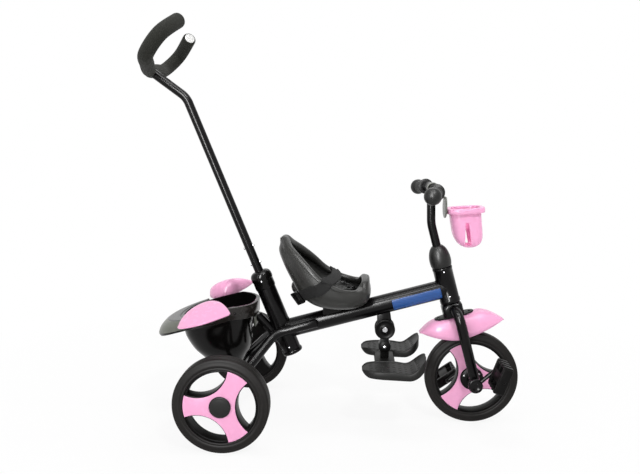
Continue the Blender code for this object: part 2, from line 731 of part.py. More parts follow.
def make_fork(group, looks):
    paint, steel = looks["black_paint"], looks["steel"]
    crown_top = HEAD_LOW - RUN_GAP
    centre = steer(0, 0, (CROWN_LOW + crown_top) / 2)
    low = [oval(steer(0, 0, CROWN_LOW), STEER_AHEAD, LEFT, 0.0225, CROWN_HALF_WIDTH - 0.0015, 4.5, 24),
           oval(steer(0, 0, CROWN_LOW + 0.002), STEER_AHEAD, LEFT, 0.0245, CROWN_HALF_WIDTH, 4.5, 24),
           oval(steer(0, 0, crown_top - 0.006), STEER_AHEAD, LEFT, 0.0245, CROWN_HALF_WIDTH, 4.5, 24),
           oval(steer(0, 0, crown_top), STEER_AHEAD, LEFT, 0.0200, CROWN_HALF_WIDTH - 0.004, 3.0, 24)]
    crown = add("fork_crown", loft(low), paint, group)
    steerer = tube([centre, steer(0, 0, HEAD_HIGH - 0.001)], STEERER_RADIUS, sides=24)
    boolean(crown, add_cutter("steerer", steerer, group, steel), "UNION")
    bore = tube([steer(0, 0, crown_top + 0.012), steer(0, 0, HEAD_HIGH + 0.02)], STEM_RADIUS + GAP, sides=24)
    boolean(crown, add_cutter("steerer_bore", bore, group, steel))

    boss_in = FRONT_TYRE_WIDTH / 2 + 0.0065 + RUN_GAP
    boss_out = CRANK_PLANE - CRANK_BOSS_LENGTH / 2 - RUN_GAP
    face = CROWN_HALF_WIDTH + GAP
    beside_crown = block((STEER_FOOT.x - 0.15, -face, CROWN_LOW), (STEER_FOOT.x + 0.05, face, CROWN_LOW + 0.2))
    crown_face = add_cutter("crown_face", beside_crown, group, steel)
    for side, sign in (("right", -1), ("left", 1)):
        leg_start = (CROWN_LOW + crown_top) / 2
        path = rounded_path([steer(0, sign * 0.010, leg_start),
                             steer(LEG_TOP_FORWARD * 0.55, sign * LEG_SPREAD, leg_start - 0.001),
                             steer(LEG_FOOT_FORWARD, sign * LEG_SPREAD, 0.004)], LEG_BEND_RADIUS, 4)
        leg = add(f"{side}_fork_leg", tube(path, LEG_RADIUS, sides=14, hint=STEER_UP), paint, group)
        boss = tube([FRONT_AXLE + LEFT * sign * boss_in, FRONT_AXLE + LEFT * sign * boss_out], 0.0125, sides=18)
        boolean(leg, add_cutter(f"{side}_fork_boss", boss, group, steel), "UNION")
        bore = tube([FRONT_AXLE + LEFT * sign * 0.01, FRONT_AXLE + LEFT * sign * 0.09],
                    CRANK_ROD_RADIUS + RUN_GAP, sides=12)
        boolean(leg, add_cutter(f"{side}_fork_bore", bore, group, steel))
        boolean(leg, crown_face)


def fender_point(along, across):
    """A point of the fender's middle skin: along from -1 (rear tip) to 1 (front tip), across from -1 to 1."""
    ahead = along * (FENDER_FRONT if along > 0 else FENDER_REAR)
    tip = FENDER_FRONT_TIP if along > 0 else FENDER_REAR_TIP
    top = FENDER_TOP - FENDER_SHEET / 2
    flat = max(0.0, (abs(along) - 0.52) / 0.48)
    ridge = top - (top - tip) * flat ** 1.7
    edge = FENDER_SIDE_LOW + (tip - FENDER_SIDE_LOW) * min(1.0, abs(along) / 0.95) ** 1.5
    half_width = FENDER_HALF_WIDTH * (1 - 0.72 * abs(along) ** 3.2)
    turn = across * math.pi / 2
    shape = 2 / 3.2
    out = math.copysign(abs(math.sin(turn)) ** shape, across)
    drop = 1 - abs(math.cos(turn)) ** shape
    return steer(ahead, out * half_width, ridge - (ridge - edge) * drop)


def make_fender(group, looks):
    rows = [[fender_point(-1 + 2 * i / 12, -1 + 2 * j / 10) for j in range(11)] for i in range(13)]
    fender = add("front_fender", sheet(rows), looks["pink"], group, smooth=60)
    thicken(fender, FENDER_SHEET)

    base = steer(0, 0, FENDER_TOP + GAP)
    outline = oval(base, STEER_AHEAD, LEFT, PLATE_LENGTH / 2, PLATE_WIDTH / 2, 2.3, 24)
    add("fender_plate", prism(outline, STEER_UP * PLATE_THICKNESS), looks["black_plastic"], group)


def make_head_cover(group, looks):
    """Egg-shaped cover over the top of the head tube, open below."""
    low = HEAD_HIGH + RUN_GAP
    bore = (STEM_RADIUS + GAP) / math.cos(math.pi / 16)
    shape = [(0.90, 0.0), (0.97, 0.12), (1.0, 0.30), (0.98, 0.48), (0.90, 0.66), (0.77, 0.82), (0.60, 0.94),
             (0.47, 1.0)]
    outer = [(COVER_RADIUS * r, low + COVER_HEIGHT * h) for r, h in shape]
    inner = [(COVER_RADIUS * r - 0.003, low + COVER_HEIGHT * h) for r, h in shape[:6:2]]
    profile = outer + [(bore, low + COVER_HEIGHT), (bore, low + COVER_HEIGHT * 0.86)] + inner[::-1]
    add("head_cover", turned(profile, STEER_FOOT, STEER_UP, sides=18), looks["dark_plastic"], group)


def bar_end(sign):
    """Where one end of the handlebar leaves its bend, and the way it points."""
    start = Vector((BAR_X, sign * BAR_STRAIGHT, BAR_Z))
    direction = Vector((-BAR_SWEEP, sign * BAR_END, -BAR_DROP)).normalized()
    return start, direction


def make_handlebar(group, looks):
    paint, steel = looks["black_paint"], looks["steel"]
    near, near_way = bar_end(-1)
    far, far_way = bar_end(1)
    reach = GRIP_START + GRIP_LENGTH - 0.012
    path = rounded_path([near + near_way * reach, near, far, far + far_way * reach], 0.040, 2)
    add("crossbar", tube(path, BAR_RADIUS, sides=16, hint=UP), paint, group)

    bend = STEER_FOOT + STEER_UP * ((0.478 - STEER_FOOT.z) / STEER_UP.z)
    top = Vector((BAR_X - 0.004, 0, BAR_Z - 0.002))
    stem_path = rounded_path([steer(0, 0, HEAD_LOW + 0.016), bend, top], 0.090, 5)
    stem = add("handlebar_stem", tube(stem_path, STEM_RADIUS, sides=16), paint, group)
    bar_cut = tube([Vector((BAR_X, -0.05, BAR_Z)), Vector((BAR_X, 0.05, BAR_Z))], BAR_RADIUS + GAP, sides=16, hint=UP)
    boolean(stem, add_cutter("bar_cope", bar_cut, group, steel))

    for side, sign in (("right", -1), ("left", 1)):
        start, way = bar_end(sign)
        make_grip(f"{side}_grip", start + way * GRIP_START, way, group, looks)


def make_grip(name, start, way, group, looks):
    """A rubber grip with a flange at its root and a round knob at its end, bored for the bar."""
    bore = (BAR_RADIUS + GAP) / math.cos(math.pi / 12) / math.cos(math.pi / 16)
    knob = GRIP_LENGTH - KNOB_RADIUS
    profile = [(bore, 0), (KNOB_RADIUS - 0.002, 0), (KNOB_RADIUS, 0.0015), (KNOB_RADIUS, 0.0045),
               (KNOB_RADIUS - 0.002, 0.006), (GRIP_RADIUS, 0.007), (GRIP_RADIUS, knob - 0.012)]
    for step in range(1, 6):
        turn = math.radians(-38 + 128 * step / 5)
        profile.append((KNOB_RADIUS * math.cos(turn) if step < 5 else 0.0, knob + KNOB_RADIUS * math.sin(turn)))
    profile += [(0, GRIP_LENGTH - 0.010), (bore, GRIP_LENGTH - 0.010)]
    add(name, turned(profile, start, way, sides=12, hint=UP), looks["dark_plastic"], group)


def make_basket(group, looks):
    """Small open basket with a rolled rim and a tall slot in each side, and the plate that it hooks on."""
    ahead = Vector((math.cos(BASKET_TILT), 0, math.sin(BASKET_TILT)))
    up = Vector((-math.sin(BASKET_TILT), 0, math.cos(BASKET_TILT)))
    rim = Vector((BASKET_X, 0, BASKET_Z))

    def ring(height, half_length, half_width, shift=0.0, shape=3.2):
        return oval(rim + up * height + ahead * shift, ahead, LEFT, half_length, half_width, shape, 20)

    length, width, wall = BASKET_LENGTH / 2, BASKET_WIDTH / 2, BASKET_WALL
    body_length, body_width = length - 0.0085, width - 0.0085
    stations = [(-0.020, 1.0, 1.0, 0.0), (-0.058, 0.955, 0.96, 0.0035), (-0.076, 0.80, 0.88, 0.006),
                (-0.0875, 0.55, 0.74, 0.007), (-BASKET_DEPTH, 0.22, 0.50, 0.0065)]
    outer = [ring(-BASKET_RIM, length, width), ring(-0.001, length, width), ring(0, length - 0.001, width - 0.001),
             ring(0, body_length - wall, body_width - wall)]
    inner = [ring(h + (wall if i == 4 else 0), body_length * a - wall, body_width * b - wall, s)
             for i, (h, a, b, s) in enumerate(stations)]
    under = [ring(h, body_length * a, body_width * b, s) for h, a, b, s in stations[::-1]]
    skirt = [ring(-0.0025, body_length, body_width), ring(-0.0025, length - wall, width - wall),
             ring(-BASKET_RIM, length - wall, width - wall)]
    rings = inner[::-1] + outer[::-1] + skirt[::-1] + under[::-1]
    basket = add("front_basket", loft(rings), looks["pink"], group, smooth=45)
    for side, sign in (("right", -1), ("left", 1)):
        slot_low, slot_high = -0.080, -0.033
        outline = [rim + up * slot_high + ahead * (0.0045), rim + up * slot_high + ahead * (-0.0050),
                   rim + up * slot_low + ahead * (-0.0075), rim + up * slot_low + ahead * (0.0080)]
        outline = [point + LEFT * sign * 0.012 for point in outline]
        tool = add_cutter(f"basket_slot_{side}", prism(outline, LEFT * sign * 0.04), group, looks["steel"])
        boolean(basket, tool)

    make_basket_bracket(rim - ahead * (length + 2 * GAP), group, looks)


def make_basket_bracket(rim_back, group, looks):
    """Upright half-oval plate behind the basket's rim, carried by a clip round the handlebar."""
    steel = looks["steel"]
    bar = Vector((BAR_X, 0, BAR_Z))
    ahead = Vector((1, 0, 0))
    back = Vector((rim_back.x - BRACKET_THICKNESS, 0, 0))
    top, waist, foot = BRACKET_TOP_Z, BRACKET_TOP_Z - 0.020, BRACKET_LOW_Z
    outline = []
    for step in range(9):
        turn = math.pi * step / 8
        height = waist - (waist - foot) * math.sin(turn) ** 0.8
        outline.append(back + UP * height + LEFT * BRACKET_HALF_WIDTH * math.cos(turn))
    shoulder = LEFT * BRACKET_HALF_WIDTH * 0.7
    outline += [back + UP * top - shoulder, back + UP * top + shoulder]
    plate = add("basket_bracket", prism(outline, ahead * BRACKET_THICKNESS), looks["grey_plastic"], group)
    clip = tube([bar - LEFT * 0.012, bar + LEFT * 0.012], BAR_RADIUS + GAP + 0.003, sides=16, hint=UP)
    boolean(plate, add_cutter("bracket_clip", clip, group, steel), "UNION")
    arm_start = bar + ahead * (BAR_RADIUS + 0.001) - UP * 0.004
    arm_end = back + UP * (top - 0.004) + ahead * BRACKET_THICKNESS / 2
    arm_side = (arm_end - arm_start).cross(LEFT).normalized() * 0.0022
    arm = [arm_start + arm_side, arm_end + arm_side, arm_end - arm_side, arm_start - arm_side]
    arm = prism([point - LEFT * 0.010 for point in arm], LEFT * 0.020)
    boolean(plate, add_cutter("bracket_arm", arm, group, steel), "UNION")
    hole = tube([bar - LEFT * 0.03, bar + LEFT * 0.03], BAR_RADIUS + GAP, sides=16, hint=UP)
    boolean(plate, add_cutter("bracket_hole", hole, group, steel))
    mouth = block((bar.x - 0.05, -0.02, bar.z - 0.05), (bar.x + 0.0078, 0.02, bar.z))
    boolean(plate, add_cutter("bracket_mouth", mouth, group, steel))


# Seat and belt

# Each station from the front lip to the top of the back: middle line (x, z), rim (x, z), half width, squareness.
SEAT_STATIONS = [
    (0.3120, 0.3430, 0.3020, 0.3290, 0.052, 3.0),
    (0.3205, 0.3240, 0.2930, 0.3245, 0.076, 3.4),
    (0.3130, 0.3010, 0.2768, 0.3250, 0.090, 4.0),
    (0.2850, 0.2890, 0.2516, 0.3305, 0.099, 4.8),
    (0.2400, 0.2865, 0.2292, 0.3405, 0.102, 5.0),
    (0.1960, 0.2930, 0.2080, 0.3530, 0.102, 4.4),
    (0.1620, 0.3120, 0.1870, 0.3720, 0.097, 3.4),
    (0.1400, 0.3440, 0.1680, 0.3890, 0.085, 2.8),
    (0.1190, 0.3830, 0.1470, 0.4065, 0.067, 2.5),
    (0.1075, 0.4150, 0.1280, 0.4230, 0.043, 2.3),
    (0.1155, 0.4370, 0.1180, 0.4380, 0.014, 2.2),
]


def seat_point(along, across):
    """A point of the seat's middle skin: along 0 at the front lip to 1 at the top, across -1 (right) to 1 (left)."""
    mid_x, mid_z, rim_x, rim_z, half_width, shape = (
        smooth_value([station[i] for station in SEAT_STATIONS], along) for i in range(6))
    turn = abs(across) * math.pi / 2
    out = math.sin(turn) ** (2 / shape)
    rise = 1 - max(math.cos(turn), 0.0) ** (2 / shape)
    x, z = mid_x + (rim_x - mid_x) * rise, mid_z + (rim_z - mid_z) * rise
    tube_top = main_axis(x).z + MAIN_TUBE_RADIUS / math.cos(MAIN_TUBE_TILT)
    bed = tube_top + SEAT_BED_GAP + SEAT_THICKNESS / 2
    if along < 0.5 and abs(across) < 0.05:
        z = max(z, bed)
    return Vector((x, math.copysign(out * half_width, across), z))


def seat_outward(along, across):
    """The seat skin's outward direction, away from the rider."""
    step = 0.01
    side = seat_point(along, min(across + step, 1)) - seat_point(along, max(across - step, -1))
    lengthways = seat_point(min(along + step, 1), across) - seat_point(max(along - step, 0), across)
    return side.cross(lengthways).normalized() * -1


def make_seat(group, looks):
    rows = [[seat_point(i / 16, -1 + 2 * j / 12) for j in range(13)] for i in range(17)]
    seat = add("seat", sheet(rows), looks["dark_plastic"], group, smooth=60)
    thicken(seat, SEAT_THICKNESS)
    profile = [(0, 0.0190), (0.0080, 0.0175), (0.0140, 0.0130), (0.0170, 0.0060), (0.0175, -0.0010), (0, -0.0010)]
    heel = turned(profile, Vector(SEAT_HEEL), Vector(SEAT_HEEL_WAY), sides=14)
    boolean(seat, add_cutter("seat_heel", heel, group, looks["steel"]), "UNION")


def make_seat_mount(group, looks):
    """Saddle block between the seat's floor and the main tube."""
    steel = looks["steel"]
    middle = main_axis(SEAT_MOUNT_X)
    half = SEAT_MOUNT_LENGTH / 2
    low = main_axis(SEAT_MOUNT_X).z + 0.010
    mount = add("seat_mount", block((SEAT_MOUNT_X - half, -0.019, low), (SEAT_MOUNT_X + half, 0.019, SEAT_MOUNT_TOP)),
                looks["black_plastic"], group)
    cope = tube([middle - MAIN_AHEAD * 0.08, middle + MAIN_AHEAD * 0.08], MAIN_TUBE_RADIUS + GAP, sides=20)
    boolean(mount, add_cutter("seat_mount_cope", cope, group, steel))


def ribbon(points, normals, width, thickness):
    """A flat strap through the points, its broad side facing along each normal."""
    rings = []
    for point, normal, tangent in zip(points, normals, tangents(points)):
        across = tangent.cross(normal).normalized()
        face = across.cross(tangent).normalized()
        half, thin = across * width / 2, face * thickness / 2
        rings.append([point - half - thin, point + half - thin, point + half + thin, point - half + thin])
    return loft(rings)


# Where the belt crosses each rim, as along, and how far it bows ahead between them.
BELT_FAR_RIM = 0.392
BELT_NEAR_RIM = 0.455
BELT_BOW = 0.012

# Where the belt lies on the seat's outer face, as (along, across), from each rim down to its end.
BELT_FAR = [(0.392, 0.62), (0.392, 0.80), (0.392, 0.94)]
BELT_NEAR = [(0.500, -0.97), (0.532, -0.91), (0.562, -0.77), (0.592, -0.50)]


def rim_up(along):
    """The direction square to the seat's rim, in the seat's side view."""
    rim = (seat_point(along + 0.02, 1.0) - seat_point(along - 0.02, 1.0)).normalized()
    return (UP - UP.dot(rim) * rim).normalized()


def make_belt(group, looks):
    """Lap belt: up the left side, over the seat's mouth and down the right side to its slider."""
    off = SEAT_THICKNESS / 2 + BELT_THICKNESS / 2 + BELT_GAP
    points, normals = [], []
    for along, across in BELT_FAR:
        normals.append(seat_outward(along, across))
        points.append(seat_point(along, across) + normals[-1] * off)
    far_rim, near_rim = seat_point(BELT_FAR_RIM, 1.0), seat_point(BELT_NEAR_RIM, -1.0)
    far_up, near_up = rim_up(BELT_FAR_RIM), rim_up(BELT_NEAR_RIM)
    points.append(far_rim + LEFT * (off + 0.0030) + far_up * 0.0050)
    normals.append((LEFT + far_up).normalized())
    for share in (0.0, 0.3, 0.55, 0.8, 1.0):
        bow = math.sin(math.pi * share)
        up = far_up.lerp(near_up, share).normalized()
        points.append(far_rim.lerp(near_rim, share) + up * (off + 0.0035) + Vector((BELT_BOW, 0, 0)) * bow)
        normals.append(up)
    points.append(near_rim - LEFT * (off + 0.0030) + near_up * 0.0050)
    normals.append((near_up - LEFT).normalized())
    for along, across in BELT_NEAR:
        normals.append(seat_outward(along, across))
        points.append(seat_point(along, across) + normals[-1] * off)
    add("lap_belt", ribbon(points, normals, BELT_WIDTH, BELT_THICKNESS), looks["webbing"], group)
    return points[-1], normals[-1], tangents(points)[-1]


def make_buckle(point, normal, way, group, looks):
    """Slider at the belt's end."""
    across = way.cross(normal).normalized()
    centre = point + way * (BUCKLE_LENGTH / 2 + GAP)
    half_length, half_width = way * BUCKLE_LENGTH / 2, across * BUCKLE_WIDTH / 2
    start = centre - normal * BUCKLE_THICKNESS * 0.3
    outline = [start - half_length - half_width, start + half_length - half_width * 0.8,
               start + half_length + half_width * 0.8, start - half_length + half_width]
    buckle = add("belt_slider", prism(outline, normal * BUCKLE_THICKNESS), looks["black_plastic"], group)
    bevel(buckle, 0.002, 2)


# Footrest

def footrest_pivot():
    return Vector((FOOTREST_X, 0, FOOTREST_PIVOT_Z))


def make_footrest_bracket(group, looks):
    """Ear welded under the main tube, with the hinge's bore."""
    steel = looks["steel"]
    pivot = footrest_pivot()
    above = main_axis(FOOTREST_X - 0.005)
    radius = FOOTREST_DISC_RADIUS - 0.0055
    outline = []
    for step in range(13):
        turn = math.pi + math.pi * step / 12
        outline.append(pivot + Vector((radius * math.cos(turn), 0, radius * math.sin(turn))))
    outline += [above + MAIN_AHEAD * 0.0145, above - MAIN_AHEAD * 0.0145]
    outline = [point - LEFT * FOOTREST_EAR for point in outline]
    bracket = add("footrest_bracket", prism(outline, LEFT * 2 * FOOTREST_EAR), looks["black_paint"], group)
    cope = tube([above - MAIN_AHEAD * 0.08, above + MAIN_AHEAD * 0.08], MAIN_TUBE_RADIUS + GAP, sides=20)
    boolean(bracket, add_cutter("bracket_cope", cope, group, steel))
    bore = tube([pivot - LEFT * 0.03, pivot + LEFT * 0.03], FOOTREST_BOLT_RADIUS + RUN_GAP, sides=16)
    boolean(bracket, add_cutter("bracket_bore", bore, group, steel))


def make_footrest(frame, group, looks):
    steel = looks["steel"]
    pivot = footrest_pivot()
    inner = FOOTREST_EAR + RUN_GAP
    outer = inner + FOOTREST_CHEEK
    head = 0.0025
    shank = FOOTREST_BOLT_RADIUS
    profile = [(0, -outer - head), (0.0055, -outer - head), (0.0065, -outer - head + 0.001), (0.0065, -outer - GAP),
               (shank, -outer - GAP), (shank, outer + GAP), (0.0065, outer + GAP), (0.0065, outer + head - 0.001),
               (0.0055, outer + head), (0, outer + head)]
    add("footrest_bolt", turned(profile, pivot, LEFT, sides=16), steel, frame)

    half = FOOTREST_STRUT_WIDTH / 2
    strut = tube([pivot - LEFT * outer, pivot + LEFT * outer], FOOTREST_DISC_RADIUS, sides=24)
    strut = add("footrest_strut", strut, looks["black_plastic"], group)
    foot_z = FOOTREST_BRIDGE_TOP + GAP
    shaft = block((FOOTREST_X - half, -outer, foot_z), (FOOTREST_X + half, outer, FOOTREST_PIVOT_Z))
    boolean(strut, add_cutter("strut_shaft", shaft, group, steel), "UNION")
    knuckle = Vector((FOOTREST_X, 0, FOOTREST_KNUCKLE_Z))
    boss = tube([knuckle - LEFT * (outer + 0.0015), knuckle + LEFT * (outer + 0.0015)], 0.0142, sides=16)
    boolean(strut, add_cutter("strut_boss", boss, group, steel), "UNION")
    radius = FOOTREST_DISC_RADIUS + 0.004
    notch = block((FOOTREST_X - radius, -inner, FOOTREST_PIVOT_Z - FOOTREST_DISC_RADIUS - 0.001),
                  (FOOTREST_X + radius, inner, FOOTREST_PIVOT_Z + radius))
    boolean(strut, add_cutter("strut_notch", notch, group, steel))
    bore = tube([pivot - LEFT * 0.05, pivot + LEFT * 0.05], shank + GAP, sides=16)
    boolean(strut, add_cutter("strut_bore", bore, group, steel))

    bridge_low = FOOTREST_BRIDGE_TOP - FOOTREST_BRIDGE_THICKNESS
    bridge_half = FOOTREST_BRIDGE_LENGTH / 2
    side = FOOTPLATE_INNER - GAP
    bridge = add("footrest_bridge", block((FOOTREST_X - bridge_half, -side, bridge_low),
                                          (FOOTREST_X + bridge_half, side, FOOTREST_BRIDGE_TOP)),
                 looks["black_plastic"], group)
    bevel(bridge, 0.003, 1)
    tongue = block((FOOTREST_X - 0.016, -side - 0.030, bridge_low + 0.0045),
                   (FOOTREST_X + 0.016, side + 0.030, FOOTREST_BRIDGE_TOP - 0.0045))
    boolean(bridge, add_cutter("bridge_tongue", tongue, group, steel), "UNION")
    for side, sign in (("right", -1), ("left", 1)):
        make_footplate(side, sign, group, looks)


def footplate_low(share):
    """Height of a footplate's underside: rounded up at the heel, and up again at the toe."""
    heel = 0.010 * max(0.0, 1 - share / 0.13) ** 2
    toe = FOOTPLATE_CURL * max(0.0, (share - 0.74) / 0.26) ** 1.8
    return FOOTPLATE_LOW - 0.0035 * min(1.0, share / 0.7) + heel + toe


def footplate_top(share):
    """Height of a footplate's tread: level, with a dip ahead of the instep and a raised toe."""
    heel = -0.004 * max(0.0, 1 - share / 0.10) ** 2
    dip = -0.004 * math.exp(-((share - 0.72) / 0.14) ** 2)
    toe = (FOOTPLATE_CURL + 0.004) * max(0.0, (share - 0.70) / 0.30) ** 1.7
    return FOOTPLATE_LOW + FOOTPLATE_THICKNESS + heel + dip + toe


def make_footplate(side, sign, group, looks):
    """Foot-shaped plate with a rounded heel and a toe that curls up."""
    middle = sign * (FOOTPLATE_INNER + FOOTPLATE_OUTER) / 2
    half_width = (FOOTPLATE_OUTER - FOOTPLATE_INNER) / 2
    rings = []
    steps = 14
    for i in range(steps + 1):
        share = (1 - math.cos(math.pi * i / steps)) / 2
        x = FOOTPLATE_REAR + (FOOTPLATE_FRONT - FOOTPLATE_REAR) * share
        heel = (1 - min(1.0, 1 - share / 0.38) ** 2.4) ** 0.5 if share < 0.38 else 1.0
        toe = (1 - ((share - 0.80) / 0.20) ** 3.0) ** 0.5 if share > 0.80 else 1.0
        width = half_width * (0.22 + 0.78 * min(heel, toe)) * (0.95 + 0.05 * share)
        low, top = footplate_low(share), footplate_top(share)
        corner = min(0.0035, width * 0.3)
        outline = [(-width + corner, low), (width - corner, low), (width, low + corner),
                   (width, top - corner), (width - corner, top), (-width + corner, top),
                   (-width, top - corner), (-width, low + corner)]
        rings.append([Vector((x, middle + y, z)) for y, z in outline])
    plate = add(f"{side}_footplate", loft(rings), looks["dark_plastic"], group, smooth=40)
    tongue_end = sign * (FOOTPLATE_INNER + 0.030)
    low_y, high_y = sorted((sign * (FOOTPLATE_INNER - 0.01), tongue_end))
    bridge_low = FOOTREST_BRIDGE_TOP - FOOTREST_BRIDGE_THICKNESS
    pocket = block((FOOTREST_X - 0.016 - GAP, low_y, bridge_low + 0.0045 - GAP),
                   (FOOTREST_X + 0.016 + GAP, high_y, FOOTREST_BRIDGE_TOP - 0.0045 + GAP))
    boolean(plate, add_cutter(f"{side}_footplate_pocket", pocket, group, looks["steel"]))


# Rear bin, wings and lip

BIN_AHEAD = Vector((math.cos(BIN_TILT), 0, math.sin(BIN_TILT)))
BIN_UP = Vector((-math.sin(BIN_TILT), 0, math.cos(BIN_TILT)))


def deck_height(x):
    """Height of the sloping deck that the bin's rim, the wings and the lip share."""
    return BIN_Z + (x - BIN_X) * math.tan(BIN_TILT)


def rim_height(x):
    """Height of the bin's rim: on the deck at the back, level at the front."""
    return deck_height(min(x, BIN_LEVEL_X))


def rim_ring(half_length, half_width, drop):
    ring = oval(Vector((BIN_X, 0, 0)), Vector((1, 0, 0)), LEFT, half_length, half_width, BIN_SHAPE, 24)
    return [Vector((point.x, point.y, rim_height(point.x) - drop)) for point in ring]


# The bin's body below its rim: middle x, height, slope, half length, half width.
BIN_BODY = [
    (-0.0410, 0.2410, 10, 0.0825, 0.0845),
    (-0.0395, 0.2150, 7, 0.0780, 0.0790),
    (-0.0315, 0.1800, 3, 0.0680, 0.0680),
    (-0.0270, 0.1560, 0, 0.0520, 0.0540),
    (-0.0260, 0.1455, 0, 0.0460, 0.0460),
]


def body_ring(middle, height, slope, half_length, half_width):
    turn = math.radians(slope)
    ahead = Vector((math.cos(turn), 0, math.sin(turn)))
    return oval(Vector((middle, 0, height)), ahead, LEFT, half_length, half_width, BIN_SHAPE, 24)


def make_bin(group, looks):
    """Deep bowl with a level floor and a banded rim."""
    wall = BIN_WALL
    length, width = BIN_HALF_LENGTH, BIN_HALF_WIDTH
    inner_length, inner_width = length - BIN_RIM_OUT, width - BIN_RIM_OUT
    floor = Vector((BIN_BODY[-1][0], 0, BIN_FLOOR_Z))
    outer = [body_ring(*station) for station in BIN_BODY]
    outer.append(oval(floor, Vector((1, 0, 0)), LEFT, BIN_FLOOR_RADIUS, BIN_FLOOR_RADIUS, BIN_SHAPE, 24))
    inner = [body_ring(x, z, slope, a - wall, b - wall) for x, z, slope, a, b in BIN_BODY[:-1]]
    inner.append(oval(floor + UP * wall, Vector((1, 0, 0)), LEFT, BIN_FLOOR_RADIUS - 0.001, BIN_FLOOR_RADIUS - 0.001,
                      BIN_SHAPE, 24))
    rim = [rim_ring(inner_length - wall, inner_width - wall, 0.0),
           rim_ring(length - 0.0015, width - 0.0015, 0.0),
           rim_ring(length, width, 0.0015),
           rim_ring(length, width, BIN_RIM_HEIGHT),
           rim_ring(length - wall, width - wall, BIN_RIM_HEIGHT),
           rim_ring(length - wall, width - wall, wall),
           rim_ring(inner_length, inner_width, wall)]
    add("rear_bin", loft(inner[::-1] + rim + outer), looks["gloss_black"], group, smooth=45)


def make_wing(side, sign, group, looks):
    """Leaf-shaped guard over a rear wheel: a steep inner wall beside the bin's rim, and a long slope outwards."""
    rows = []
    for i in range(13):
        share = i / 12
        x = WING_REAR_X + (WING_FRONT_X - WING_REAR_X) * (1 - math.cos(math.pi * share)) / 2
        along = (x - WING_REAR_X) / (WING_FRONT_X - WING_REAR_X)
        swell = math.sin(math.pi * along)
        seat = BIN_HALF_WIDTH + SHELL_GAP + WING_SHEET / 2
        inner = WING_TIP_Y - 0.004 - (WING_TIP_Y - 0.004 - seat) * swell ** 0.45
        outer = WING_TIP_Y + 0.004 + (WING_HALF_WIDTH - 0.004) * swell ** 0.6
        row = []
        for j in range(8):
            across = (j / 7) ** 1.25
            height = deck_height(x) + WING_RAISE + WING_CROWN * swell ** 0.6 * math.sin(math.pi * across ** 0.5)
            row.append(Vector((x, sign * (inner + (outer - inner) * across), height)))
        rows.append(row)
    wing = add(f"{side}_wing", sheet(rows), looks["pink"], group, smooth=60)
    thicken(wing, WING_SHEET)


def make_lip(group, looks):
    """Crescent hood round the back of the bin, flaring as it comes down, open below."""
    steel = looks["steel"]
    centre = Vector((LIP_X, 0, deck_height(LIP_X)))

    def ring(height, flare, inset=0.0):
        half_length = LIP_HALF_LENGTH + LIP_FLARE_BACK * flare - inset
        half_width = LIP_HALF_WIDTH + LIP_FLARE_OUT * flare - inset
        points = oval(centre + BIN_UP * height, BIN_AHEAD, LEFT, half_length, half_width, 2.1, 32)
        return [point - BIN_UP * height * LIP_SIDE_RISE * (point.y / half_width) ** 2 for point in points]

    wall = LIP_WALL
    outer = [ring(-LIP_HEIGHT, 1.0), ring(-LIP_HEIGHT * 0.50, 0.74), ring(-LIP_HEIGHT * 0.20, 0.52),
             ring(-LIP_HEIGHT * 0.05, 0.30), ring(-0.0005, 0.0)]
    inner = [ring(-wall - 0.0005, 0.0, wall * 0.4), ring(-LIP_HEIGHT * 0.28, 0.40, wall * 0.6),
             ring(-LIP_HEIGHT * 0.58, 0.70, wall), ring(-LIP_HEIGHT - 0.001, 1.0, wall)]
    hood = add("bin_rear_lip", loft(outer + inner, closed=True), looks["grey_plastic"], group, smooth=50)
    well = loft([oval(Vector((BIN_X, 0, height)), Vector((1, 0, 0)), LEFT, BIN_HALF_LENGTH + SHELL_GAP,
                      BIN_HALF_WIDTH + SHELL_GAP, BIN_SHAPE, 24) for height in (0.1, 0.4)])
    boolean(hood, add_cutter("lip_well", well, group, steel))
    front = block((LIP_FRONT_X, -0.2, 0.1), (0.2, 0.2, 0.4))
    boolean(hood, add_cutter("lip_front", front, group, steel))


def make_bin_support(group, looks):
    """Tube from the socket's foot to a plate behind the bin's front wall."""
    steel = looks["steel"]
    top = Vector((BIN_PLATE_X + 0.0015, 0, 0.2565))
    low = Vector((SOCKET_CROSS_X, 0, 0.1850))
    support = add("bin_support", tube([low, top], BIN_TUBE_RADIUS, sides=16), looks["black_paint"], group)
    boolean(support, bpy.data.objects["socket_cope"])
    plate = block((BIN_PLATE_X, -0.026, 0.184), (BIN_PLATE_X + 0.0035, 0.026, 0.2545))
    boolean(support, add_cutter("bin_plate", plate, group, steel), "UNION")
    behind = block((BIN_PLATE_X - 0.05, -0.03, 0.15), (BIN_PLATE_X, 0.03, 0.30))
    boolean(support, add_cutter("bin_plate_back", behind, group, steel))
    over = block((BIN_PLATE_X - 0.05, -0.03, 0.2548), (BIN_PLATE_X + 0.05, 0.03, 0.30))
    boolean(support, add_cutter("bin_plate_top", over, group, steel))


# Push handle

def pole_point(height):
    """A point on the pole's straight run, measured up from the collar's top."""
    return COLLAR_TOP + SOCKET_UP * height


def handle_axes():
    """Directions of the C grip: across to the left, and out along its arms."""
    across = Vector((-math.sin(HANDLE_YAW), math.cos(HANDLE_YAW), 0))
    level = Vector((math.cos(HANDLE_YAW), math.sin(HANDLE_YAW), 0))
    return across, level * math.cos(HANDLE_TILT) + UP * math.sin(HANDLE_TILT)


def pole_top():
    bend = pole_point(POLE_LENGTH)
    way = Vector((-math.cos(POLE_HEAD_RISE), 0, math.sin(POLE_HEAD_RISE)))
    return bend, bend + way * POLE_HEAD_LENGTH


# One arm of the C grip, from the pole to its end: distance out and distance across, in the grip's plane.
HANDLE_ARM = [(0.007, 0.085), (0.017, 0.165), (0.072, 0.193), (0.123, 0.132)]


